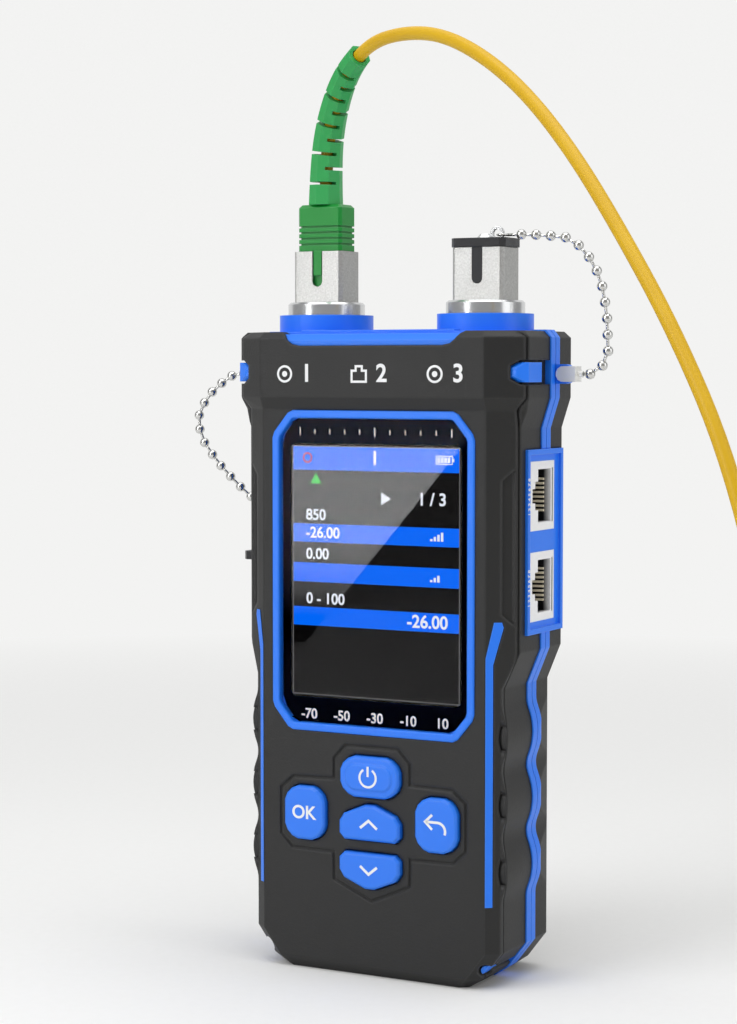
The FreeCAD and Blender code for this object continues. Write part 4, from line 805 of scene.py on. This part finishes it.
def sleeve_mesh(places, widths, sides):
    """A closed sleeve with a ring at each place, so wide across its flats."""
    shape = bmesh.new()
    turn = Matrix.Rotation(math.pi / sides, 4, "Z")
    loops = []
    for i, (place, width) in enumerate(zip(places, widths)):
        made = bmesh.ops.create_circle(
            shape, segments=sides, radius=width / 2 / math.cos(math.pi / sides),
            matrix=place @ turn, cap_ends=i in (0, len(places) - 1))
        loops.append(list(dict.fromkeys(e for v in made["verts"] for e in v.link_edges)))
    for first, second in zip(loops, loops[1:]):
        bmesh.ops.bridge_loops(shape, edges=first + second)
    bmesh.ops.recalc_face_normals(shape, faces=shape.faces[:])
    return mesh_of(shape)


def cut_by(mesh, *tools):
    """The mesh with the closed form of each tool taken away."""
    blank = placed("blank", mesh)
    holders = [placed("tool", tool) for tool in tools]
    for holder in holders:
        step = blank.modifiers.new("cut", "BOOLEAN")
        step.operation = "DIFFERENCE"
        step.solver = "EXACT"
        step.object = holder
    ready = blank.evaluated_get(bpy.context.evaluated_depsgraph_get())
    result = bpy.data.meshes.new_from_object(ready)
    for made in (blank, *holders):
        data = made.data
        bpy.data.objects.remove(made)
        bpy.data.meshes.remove(data)
    return result


def boot_slots(places, widths):
    """The boxes that cut the boot's slots, by turns from its left and its right."""
    s = sizes()
    slots = bmesh.new()
    count = len(places) - 1
    total = math.ceil((s.boot_len - s.slot_pitch / 2 - s.slot_first) / s.slot_pitch)
    for k in range(total):
        i = round((s.slot_first + k * s.slot_pitch) / s.boot_len * count)
        way, past = BOOT_SLOTS[k % 2]
        past *= widths[i]
        reach = s.boot_base + past
        size = Matrix.Diagonal((reach, 2 * s.boot_base,
                                s.slot_w * (1 + SLOT_GROWTH * i / count), 1.0))
        shift = Matrix.Translation((way * (reach / 2 - past), 0.0, 0.0))
        bmesh.ops.create_cube(slots, size=1.0, matrix=places[i] @ shift @ size)
    return mesh_of(slots)


def lead_boot(points):
    """The boot at the meter: an eight-sided taper, slotted, with a bore for the cable."""
    s = sizes()
    places = places_along(boot_line(points, s.boot_len))
    count = len(places) - 1
    widths = [s.boot_base + (s.boot_tip - s.boot_base) * i / count for i in range(count + 1)]
    rings = (*range(0, count, 2), count)
    skin = sleeve_mesh([places[i] for i in rings], [widths[i] for i in rings], 8)
    ends = [places[0] @ Matrix.Translation((0, 0, -PAST)), *places[1:-1:4],
            places[-1] @ Matrix.Translation((0, 0, PAST))]
    bore = sleeve_mesh(ends, [s.cable_d + BORE_PLAY] * len(ends), 16)
    made = piece("lead_boot_sleeve", cut_by(skin, boot_slots(places, widths), bore),
                 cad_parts["far_boot"].data.materials[0], BODY)
    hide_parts("lead_boot")
    return made


def lead():
    """The yellow patch lead: over in an arch, down to the floor and into its coil."""
    points = lead_points()
    curve = smooth_line("patch_lead", points, sizes().cable_d / 2)
    curve.resolution_u = 6
    curve.bevel_resolution = 5
    curve.use_fill_caps = True
    curve.materials.append(cable_jacket())
    made = placed("patch_lead", curve)
    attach(made, BODY)
    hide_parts("lead_cable", "lead_coil", "lead_tail")
    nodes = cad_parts
    ([lead_boot(points)] + [nodes[n] for n in (
                "lead_plug", "lead_ferrule", "far_plug", "far_ferrule", "far_boot")])


# ---- chains
RIGHT_KNOTS = (
    # the laser port's chain: out from the head's side in millimetres, and share of its rise
    (8.3, 0.0), (11.3, 0.057), (12.8, 0.154), (12.8, 0.387), (12.1, 0.594), (10.2, 0.77),
    (7.3, 0.896), (3.6, 0.969), (-2.0, 0.991), (-7.4, 1.0),
)
LEFT_KNOTS = (
    # the power port's chain in millimetres: out from the head's side, depth, over the clamp
    (8.3, 3.8, 0.1), (12.6, 3.9, -0.7), (17.8, 4.0, -4.7), (21.0, 4.0, -8.7), (21.6, 4.1, -12.3),
    (20.2, 4.4, -16.5), (17.0, 5.2, -21.3), (12.4, 7.0, -26.7), (8.2, 9.6, -31.3),
    (5.4, 11.3, -35.1),
)
CLOSE = 0.001 * MM      # two places this near are one
LOOP = 1.25 * MM        # radius of the wire loop in a cap's eye
LOOP_WIRE = 0.25 * MM   # radius of its wire
EYE_INSET = 0.35 * MM   # from the eye's outer side to the loop's middle
LAST_WIRE = 1.2 * MM    # from the loop's middle to the chain's last wire


def evenly(knots, pitch):
    """Points about a pitch apart along the knots, with both ends."""
    runs = [(q - p).length for p, q in zip(knots, knots[1:])]
    step = sum(runs) / round(sum(runs) / pitch)
    points, due = [knots[0]], step
    for p, q, run in zip(knots, knots[1:], runs):
        while due < run - CLOSE:
            points.append(p.lerp(q, due / run))
            due += step
        due -= run
    return points + [knots[-1]]


def chain(name, start, knots, goal, out, axis, finish, body):
    """Balls on a wire from a clamp along the knots, to a loop that hangs in a cap's eye."""
    s = sizes()
    points = evenly(knots, s.ball_pitch)
    stops = [start, *points, goal + out * LAST_WIRE]
    parts = [ball(s.ball_d / 2, p) for p in points]
    parts += [wire(p, q, s.wire_d / 2) for p, q in zip(stops, stops[1:])]
    curve = smooth_line("loop", [(*p, 0.0) for p in circle(LOOP, 12)], LOOP_WIRE, closed=True)
    curve.bevel_resolution = 3
    loop = mesh_of(curve)
    loop.transform(turned(goal, axis))
    return piece(name, joined(*[(part, FLAT) for part in (*parts, loop)]), finish, body)


def right_chain(finish):
    """The chain from the right clamp over to the cap on the laser port."""
    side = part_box("side_band")[1].x
    start = middle("laser_clamp")
    start.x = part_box("laser_clamp")[1].x
    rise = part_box("laser_chain")[1].z - sizes().ball_d / 2 - start.z
    eye = middle("laser_cap_ring")
    goal = Vector((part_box("laser_cap_ring")[1].x - EYE_INSET, eye.y, start.z + rise))
    knots = [Vector((side + out * MM, start.y + (goal.y - start.y) * up, start.z + rise * up))
             for out, up in RIGHT_KNOTS]
    made = chain("laser_ball_chain", start, knots, goal, Vector((1, 0, 0)), Vector((0, 0, 1)),
                 finish, None)
    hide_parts("laser_chain")
    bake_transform(made)


def left_chain(finish):
    """The chain from the left clamp down to its hanging cap."""
    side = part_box("side_band")[0].x
    start = middle("power_clamp")
    start.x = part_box("power_clamp")[0].x
    goal = middle("power_cap_ring")
    goal.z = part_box("power_cap_ring")[1].z - EYE_INSET
    knots = [Vector((side - out * MM, depth * MM, start.z + up * MM))
             for out, depth, up in LEFT_KNOTS]
    made = chain("power_ball_chain", start, knots, goal, Vector((0, 0, 1)), Vector((0, 1, 0)),
                 finish, "power_tether")
    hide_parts("power_chain")


# ---- window and display
FRAME_ROUND = 0.42 * MM   # rounding of the window frame's front
INK_DEPTH = 0.04 * MM     # how far the border lies behind the glass
SCALE_DEPTH = 0.02 * MM
MARK_DEPTH = 0.012 * MM   # how far the figures stand before the display
EDGE_DEPTH = 0.006 * MM


def window_frame():
    """The blue frame round the window: eight-sided, with crisp corners and a rounded front."""
    s = sizes()
    low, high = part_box("screen_bezel")
    shape = bmesh.new()
    outline = softened(window_corners(low, high, s.corner_w, s.corner_h), s.corner_soft)
    face = shape.faces.new([shape.verts.new((x, high.y, z)) for x, z in outline])
    face.normal_update()
    bmesh.ops.inset_region(shape, faces=[face], thickness=s.window_rim, use_boundary=True,
                           use_even_offset=True)
    bmesh.ops.delete(shape, geom=[face], context="FACES_ONLY")
    made = bmesh.ops.extrude_face_region(shape, geom=shape.faces[:], use_keep_orig=True)
    moved = [part for part in made["geom"] if isinstance(part, bmesh.types.BMVert)]
    bmesh.ops.translate(shape, verts=moved, vec=(0.0, low.y - high.y, 0.0))
    bmesh.ops.recalc_face_normals(shape, faces=shape.faces[:])
    front = [edge for edge in shape.edges if all(v in moved for v in edge.verts)
             and any(abs(f.normal.y) < 0.5 for f in edge.link_faces)]
    bmesh.ops.bevel(shape, geom=front, offset=FRAME_ROUND, offset_type="OFFSET", segments=3,
                    profile=0.5, affect="EDGES", material=-1)
    made = piece("window_frame", mesh_of(shape),
                 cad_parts["screen_bezel"].data.materials[0], BODY)
    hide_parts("screen_bezel")


def window_corners(low, high, cut_x, cut_z):
    """An eight-sided outline inside these bounds, its corners cut by so much along each side."""
    return [(low.x, low.z + cut_z), (low.x + cut_x, low.z), (high.x - cut_x, low.z),
            (high.x, low.z + cut_z), (high.x, high.z - cut_z), (high.x - cut_x, high.z),
            (low.x + cut_x, high.z), (low.x, high.z - cut_z)]


def glass_border():
    """The black ink frame behind the glass, open where the display shows."""
    s = sizes()
    low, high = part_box("screen_glass")
    centre = middle("screen_glass")
    outer = window_corners(low - centre, high - centre, s.corner_w - s.window_rim / 2,
                           s.corner_h - s.window_rim / 2)
    printed("window_ink_border", [(drawn(outer, panel(s.screen_w, s.screen_h)), FLAT)],
            on_front(centre.x, high.y + INK_DEPTH, centre.z), border_ink(), BODY)


def battery_icon():
    """A battery outline with four cells and its terminal."""
    w, h, line, cell = 4.2 * MM, 2.0 * MM, 0.2 * MM, 0.65 * MM
    left, tall = -w / 2 + 2 * line, h / 2 - 2 * line
    cells = [left + i * (w - 4 * line) / 4 for i in range(4)]
    return [drawn(panel(w, h), panel(w, h, line)),
            drawn(rectangle(w / 2, -h / 5, w / 2 + 2 * line, h / 5)),
            *[drawn(rectangle(x, -tall, x + cell, tall)) for x in cells]]


def level_icon(count):
    """Rising bars, as for a signal's strength."""
    pitch, wide, rise = 0.9 * MM, 0.6 * MM, 0.5 * MM
    return [drawn(rectangle(i * pitch, 0.0, i * pitch + wide, (i + 1) * rise))
            for i in range(count)]


def mm(*points):
    """Points given in millimetres."""
    return [(x * MM, y * MM) for x, y in points]


BARS = ((0.0, 5.6), (18.0, 22.2), (27.0, 31.4), (37.2, 41.5))  # millimetres down from the top
FIGURES = (
    # (text, right of the middle, down from the top, height) in millimetres
    ("1", 0.0, 2.8, 3.1), ("850", -15.4, 16.0, 2.5), ("-26.00", -13.6, 20.1, 2.5),
    ("0.00", -15.0, 25.0, 2.5), ("1 / 3", 14.6, 11.8, 2.8), ("0 - 100", -12.9, 35.3, 2.5),
    ("-26.00", 13.4, 39.4, 2.9),
)
MARKER = mm((-1.0, -1.5), (1.5, 0.0), (-1.0, 1.5))
POINTER = mm((-1.4, -1.1), (1.4, -1.1), (0.0, 1.3))


def display():
    """The lit marks of the display: header, three bars, pointers, icons and figures."""
    s = sizes()
    c = colours()
    w, h = s.screen_w, s.screen_h
    x, y, z = middle("display_module").x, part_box("display_module")[0].y, middle("screen_glass").z

    def spot(right, down, side=0):
        """So far right of the middle, or of a side, and so far down from the top."""
        return at(side * w / 2 + right * MM, h / 2 - down * MM)

    def show(name, parts, depth, glow, tint, strength):
        printed("display_" + name, parts, on_front(x, y - depth, z),
                lit_cells("lcd_" + glow, tint, strength), BODY)

    bars = [drawn(rectangle(-w / 2, h / 2 - low * MM, w / 2, h / 2 - top * MM))
            for top, low in BARS]
    show("bars", [(bar, FLAT) for bar in bars], 0.0, "blue", c.bar, 1.0)
    marks = [(part, spot(-4.0, 2.8, 1)) for part in battery_icon()]
    marks += [(part, spot(-7.5, 21.0, 1)) for part in level_icon(4)]
    marks += [(part, spot(-7.5, 30.2, 1)) for part in level_icon(3)]
    marks += [(written(text, tall * MM), spot(right, down)) for text, right, down, tall in FIGURES]
    marks.append((drawn(MARKER), spot(2.6, 11.8)))
    show("figures", marks, MARK_DEPTH, "white", c.mark, 0.95)
    show("pointer", [(drawn(POINTER), spot(6.2, 7.6, -1))], MARK_DEPTH, "green", c.ready, 0.9)
    show("ring", [(drawn(circle(1.25 * MM), circle(0.85 * MM)), spot(4.0, 2.8, -1))], MARK_DEPTH,
         "red", c.alert, 0.9)
    show("edge", [(drawn(panel(w, h), panel(w, h, 0.25 * MM)), FLAT)], EDGE_DEPTH, "grey",
         linear("#8C8A8C"), 0.5)


# ---- prints on case and keys
SCALE_FIGURES = ("-70", "-50", "-30", "-10", "10")
SCALE_PITCH = 8.6 * MM
SCALE_DROP = 4.5 * MM    # from the display to the figures under it
TICKS = 11
TICK_PITCH = 3.9 * MM
TICK_W, TICK_H = 0.34 * MM, 1.1 * MM
FIFTH_H = 1.9 * MM       # every fifth tick is taller
TICK_RISE = 3.2 * MM     # from the display to the ticks over it
LABELS_DROP = 9.6 * MM   # from the case's top to the signs and figures under the sockets


def window_scale(finish):
    """White print on the glass border: a scale with figures below, fine ticks above."""
    s = sizes()
    centre = middle("screen_glass")
    below, above = -s.screen_h / 2 - SCALE_DROP, s.screen_h / 2 + TICK_RISE
    parts = [(written(text, s.scale_h), at((i - 2) * SCALE_PITCH, below))
             for i, text in enumerate(SCALE_FIGURES)]
    parts += [(drawn(panel(TICK_W, TICK_H if i % 5 else FIFTH_H)), at((i - 5) * TICK_PITCH, above))
              for i in range(TICKS)]
    printed("window_scale_print", parts,
            on_front(centre.x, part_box("screen_glass")[1].y + SCALE_DEPTH, centre.z), finish)


def fibre_sign(h):
    """Two rings, as a fibre's end is drawn."""
    return [drawn(circle(h / 2), circle(h / 2 - 0.13 * h)), drawn(circle(0.17 * h, 20))]


def jack_sign(h):
    """A network jack's mouth with its latch."""
    w, t = h * 1.05, 0.13 * h
    outer = [(-w / 2, -h / 2), (w / 2, -h / 2), (w / 2, h / 4), (w / 4, h / 4), (w / 4, h / 2),
             (-w / 4, h / 2), (-w / 4, h / 4), (-w / 2, h / 4)]
    inner = [(x - math.copysign(t, x), y - math.copysign(t, y)) for x, y in outer]
    return [drawn(outer, inner)]


LABELS = ((-19.0 * MM, fibre_sign, "1"), (0.4 * MM, jack_sign, "2"), (19.6 * MM, fibre_sign, "3"))
SIGN_LEFT, FIGURE_RIGHT = 3.0 * MM, 2.8 * MM  # from the label's middle


def head_print(finish):
    """A sign and a figure under each of the three sockets."""
    h = sizes().label_h
    low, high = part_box("front_cover")
    parts = []
    for x, sign, text in LABELS:
        parts += [(part, at(x - SIGN_LEFT, 0.0)) for part in sign(h)]
        parts.append((written(text, h), at(x + FIGURE_RIGHT, 0.0)))
    printed("head_print", parts, on_front(0.0, low.y, high.z - LABELS_DROP), finish)


def side_print(finish):
    """The numbers of the eight contacts along each jack on the right side."""
    s = sizes()
    low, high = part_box("side_bezel")
    parts = [(written("1 2 3 4 5 6 7 8", s.number_h),
              on_right(high.x, low.y + s.frame_rim / 2, middle(node).z))
             for node in ("side_jack_lower", "side_jack_upper")]
    printed("side_print", parts, FLAT, finish)


def power_sign():
    """An open ring with a stroke at its top."""
    w = sizes().stroke
    gap = math.radians(32)
    open_ring = circle(2.5 * MM, 28, math.pi / 2 + gap, 2 * math.pi - 2 * gap)
    return [drawn(stroked(open_ring, w)), drawn(rectangle(-w / 2, 0.3 * MM, w / 2, 3.1 * MM))]


def back_sign():
    """An arrow that turns back to the left."""
    w = sizes().stroke * 1.15
    bend = circle(2.3 * MM, 14, math.pi / 2, -math.pi * 0.62, 0.7 * MM, -1.3 * MM)
    return [drawn(stroked([*mm((-2.6, 1.0)), *bend], w)),
            drawn(stroked(mm((-0.9, 3.0), (-3.0, 1.0), (-0.9, -1.0)), w))]


def chevron(way):
    """An open arrow head that points up or down."""
    points = mm((-2.6, -0.9 * way), (0.0, 1.2 * way), (2.6, -0.9 * way))
    return [drawn(stroked(points, sizes().stroke * 1.2))]


def key_print(finish):
    """The white signs on the five keys; the two chevrons sit a little towards each other."""
    share = sizes().sign_share
    signs = {"power": power_sign(), "ok": [written("OK", 3.6 * MM)], "back": back_sign(),
             "up": chevron(1), "down": chevron(-1)}
    shifts = {"up": -0.4 * MM, "down": 0.4 * MM}
    for name, sign in signs.items():
        node = name + "_key"
        centre = middle(node)
        printed(node + "_print",
                [(part, Matrix.Diagonal((share, share, 1.0, 1.0))) for part in sign],
                on_front(centre.x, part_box(node)[0].y, centre.z + shifts.get(name, 0.0)),
                finish, name + "_button")


LIGHT_BLOCK = (1.1 * MM, 0.56 * MM, 12.2 * MM)
LIGHT_ROUND = 0.12 * MM
LIGHT_INSET = 0.94 * MM  # from the jack's rear side to the light's middle


def jack_lights(finish):
    """The frosted windows of the jacks' lights."""
    for node in ("side_jack_lower", "side_jack_upper"):
        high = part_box(node)[1]
        place = Matrix.Translation((high.x - LIGHT_BLOCK[0] / 2, high.y - LIGHT_INSET,
                                    middle(node).z))
        shape = bmesh.new()
        bmesh.ops.create_cube(shape, size=1.0, matrix=place @ Matrix.Diagonal((*LIGHT_BLOCK, 1.0)))
        bmesh.ops.bevel(shape, geom=shape.edges[:], offset=LIGHT_ROUND, offset_type="OFFSET",
                        segments=2, profile=0.5, affect="EDGES", material=-1)
        piece(node + "_light", mesh_of(shape), finish, BODY)


# ---- stage
PAPER_BEND = 0.9    # radius, in metres as the rest of the paper
BEND_STEPS = 24
PAPER_BACK = 1.6    # how far the floor runs to the back
PAPER_FRONT = 2.6
PAPER_HALF = 3.5    # half the paper's width
PAPER_TOP = 3.2
LIGHT_GOAL = Vector((0.0, 0.0, 0.09))
LIGHTS = (
    # name, place in metres, width and height in metres
    ("front", (-0.35, -0.65, 0.55), 0.5, 0.5),
    ("side", (0.75, 0.05, 0.35), 0.5, 0.7),
    ("top", (0.05, -0.1, 0.95), 0.9, 0.9),
)


def backdrop():
    """Floor and wall in one sheet of paper, with a wide bend between them."""
    angles = [math.pi / 2 * i / BEND_STEPS for i in range(1, BEND_STEPS + 1)]
    bend = [(PAPER_BACK + PAPER_BEND * math.sin(a), PAPER_BEND * (1 - math.cos(a)))
            for a in angles]
    profile = [(-PAPER_FRONT, 0.0), (PAPER_BACK, 0.0), *bend, (PAPER_BACK + PAPER_BEND, PAPER_TOP)]
    shape = bmesh.new()
    rows = [[shape.verts.new((x, y, z)) for x in (-PAPER_HALF, PAPER_HALF)] for y, z in profile]
    for row, after in zip(rows, rows[1:]):
        shape.faces.new((row[0], row[1], after[1], after[0])).smooth = True
    made = placed("backdrop", mesh_of(shape))
    made.data.materials.append(studio_paper())
    made.matrix_world = Matrix.Rotation(math.radians(stage().camera_turn), 4, "Z")


def glow_card():
    """The card at the left that the display mirrors; its glow fades towards the floor."""
    s = stage()
    mesh = bpy.data.meshes.new("glow_card")
    corners = [(x, -s.card_back, z) for x, z in (
        (s.card_left, 0.0), (s.card_foot, 0.0), (s.card_head, s.card_top),
        (s.card_left, s.card_top))]
    mesh.from_pydata(corners, [], [range(len(corners))])
    glow = material("card_glow", Base_Color=(0.0, 0.0, 0.0), Emission_Color=(1.0, 1.0, 1.0),
                    Roughness=1.0)
    tree, shader, where = inside(glow)
    fill(tree, shader, {"Emission Strength": add(tree, "MapRange", {
        "Value": add(tree, "SeparateXYZ", {"Vector": where}).outputs["Z"],
        "From Min": s.card_low, "From Max": s.card_full, "To Max": s.card_glow})})
    mesh.materials.append(glow)
    made = placed("glow_card", mesh)
    made.visible_diffuse = made.visible_shadow = made.visible_camera = False


def lights():
    """The mirrored card, three soft lights and light from all round."""
    s = stage()
    glow_card()
    for name, place, width, height in LIGHTS:
        data = bpy.data.lights.new(name + "_light", "AREA")
        data.shape = "RECTANGLE"
        data.size, data.size_y = width, height
        data.energy = getattr(s, name + "_power")
        made = placed(name + "_light", data)
        turn = (LIGHT_GOAL - Vector(place)).to_track_quat("-Z", "Y").to_matrix().to_4x4()
        made.matrix_world = Matrix.Translation(place) @ turn
    world = bpy.data.worlds.new("studio")
    world.use_nodes = True
    tree = world.node_tree
    path = add(tree, "LightPath").outputs
    level = add(tree, "MapRange", {
        "Value": path["Is Camera Ray"], "To Min": s.sky, "To Max": s.wall})
    fill(tree, tree.nodes["Background"], {"Color": (1.0, 1.0, 1.0), "Strength": level})
    bpy.context.scene.world = world


def camera():
    s = stage()
    data = bpy.data.cameras.new("photo_camera")
    data.lens = s.lens
    data.sensor_width = 36.0
    data.clip_end = 20.0
    made = placed("photo_camera", data)
    made.location = (s.camera_x, -s.camera_back, s.camera_z)
    made.rotation_euler = (math.radians(s.camera_tilt), 0.0, math.radians(s.camera_turn))
    bpy.context.scene.camera = made


# ---- operators
class METER_OT_stage(bpy.types.Operator):
    """Set up the camera, the lights and the backdrop"""
    bl_idname = "meter.stage"
    bl_label = "Stage"

    def execute(self, context):
        camera()
        lights()
        backdrop()
        context.scene.view_settings.view_transform = "Standard"
        return {"FINISHED"}


class METER_OT_finishes(bpy.types.Operator):
    """Give every node of the frame its material"""
    bl_idname = "meter.finishes"
    bl_label = "Finishes"

    def execute(self, context):
        for finish, names in FINISHES.items():
            made = finish()
            for name in names:
                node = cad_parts[name]
                node.data.materials.clear()
                node.data.materials.append(made)
        return {"FINISHED"}


class METER_OT_lead(bpy.types.Operator):
    """Lay the patch lead from its plug to its coil"""
    bl_idname = "meter.lead"
    bl_label = "Lead"

    def execute(self, context):
        lead()
        return {"FINISHED"}


class METER_OT_chains(bpy.types.Operator):
    """Hang the two ball chains"""
    bl_idname = "meter.chains"
    bl_label = "Chains"

    def execute(self, context):
        finish = ball_steel()
        right_chain(finish)
        left_chain(finish)
        return {"FINISHED"}


class METER_OT_window(bpy.types.Operator):
    """Frame the window, print its border and light the display"""
    bl_idname = "meter.window"
    bl_label = "Window"

    def execute(self, context):
        window_frame()
        glass_border()
        display()
        return {"FINISHED"}


class METER_OT_prints(bpy.types.Operator):
    """Print the figures and signs on case, window and keys"""
    bl_idname = "meter.prints"
    bl_label = "Prints"

    def execute(self, context):
        finish = print_ink()
        window_scale(finish)
        head_print(finish)
        side_print(finish)
        key_print(finish)
        return {"FINISHED"}


class METER_OT_jack_lights(bpy.types.Operator):
    """Fit the light windows of the side jacks"""
    bl_idname = "meter.jack_lights"
    bl_label = "Jack lights"

    def execute(self, context):
        jack_lights(led_lens())
        return {"FINISHED"}


STEPS = (METER_OT_stage, METER_OT_finishes, METER_OT_lead, METER_OT_chains, METER_OT_window,
         METER_OT_prints, METER_OT_jack_lights)


class METER_PT_panel(bpy.types.Panel):
    """Steps and settings of the meter"""
    bl_idname = "METER_PT_panel"
    bl_label = "Meter"
    bl_space_type = "VIEW_3D"
    bl_region_type = "UI"
    bl_category = "Meter"

    def draw(self, context):
        for step in STEPS:
            self.layout.operator(step.bl_idname)
        for group in (context.scene.meter_colours, context.scene.meter_sizes,
                      context.scene.meter_stage):
            box = self.layout.box()
            for name in group.bl_rna.properties.keys():
                if name not in ("rna_type", "name"):
                    box.prop(group, name)


CLASSES = (MeterColours, MeterSizes, MeterStage, *STEPS, METER_PT_panel)


def register():
    for item in CLASSES:
        bpy.utils.register_class(item)
    bpy.types.Scene.meter_colours = bpy.props.PointerProperty(type=MeterColours)
    bpy.types.Scene.meter_sizes = bpy.props.PointerProperty(type=MeterSizes)
    bpy.types.Scene.meter_stage = bpy.props.PointerProperty(type=MeterStage)


def unregister():
    del bpy.types.Scene.meter_stage
    del bpy.types.Scene.meter_sizes
    del bpy.types.Scene.meter_colours
    for item in reversed(CLASSES):
        bpy.utils.unregister_class(item)


def main():
    register()
    for step in STEPS:
        group, name = step.bl_idname.split(".")
        getattr(getattr(bpy.ops, group), name)()


if __name__ == "__main__":
    main()
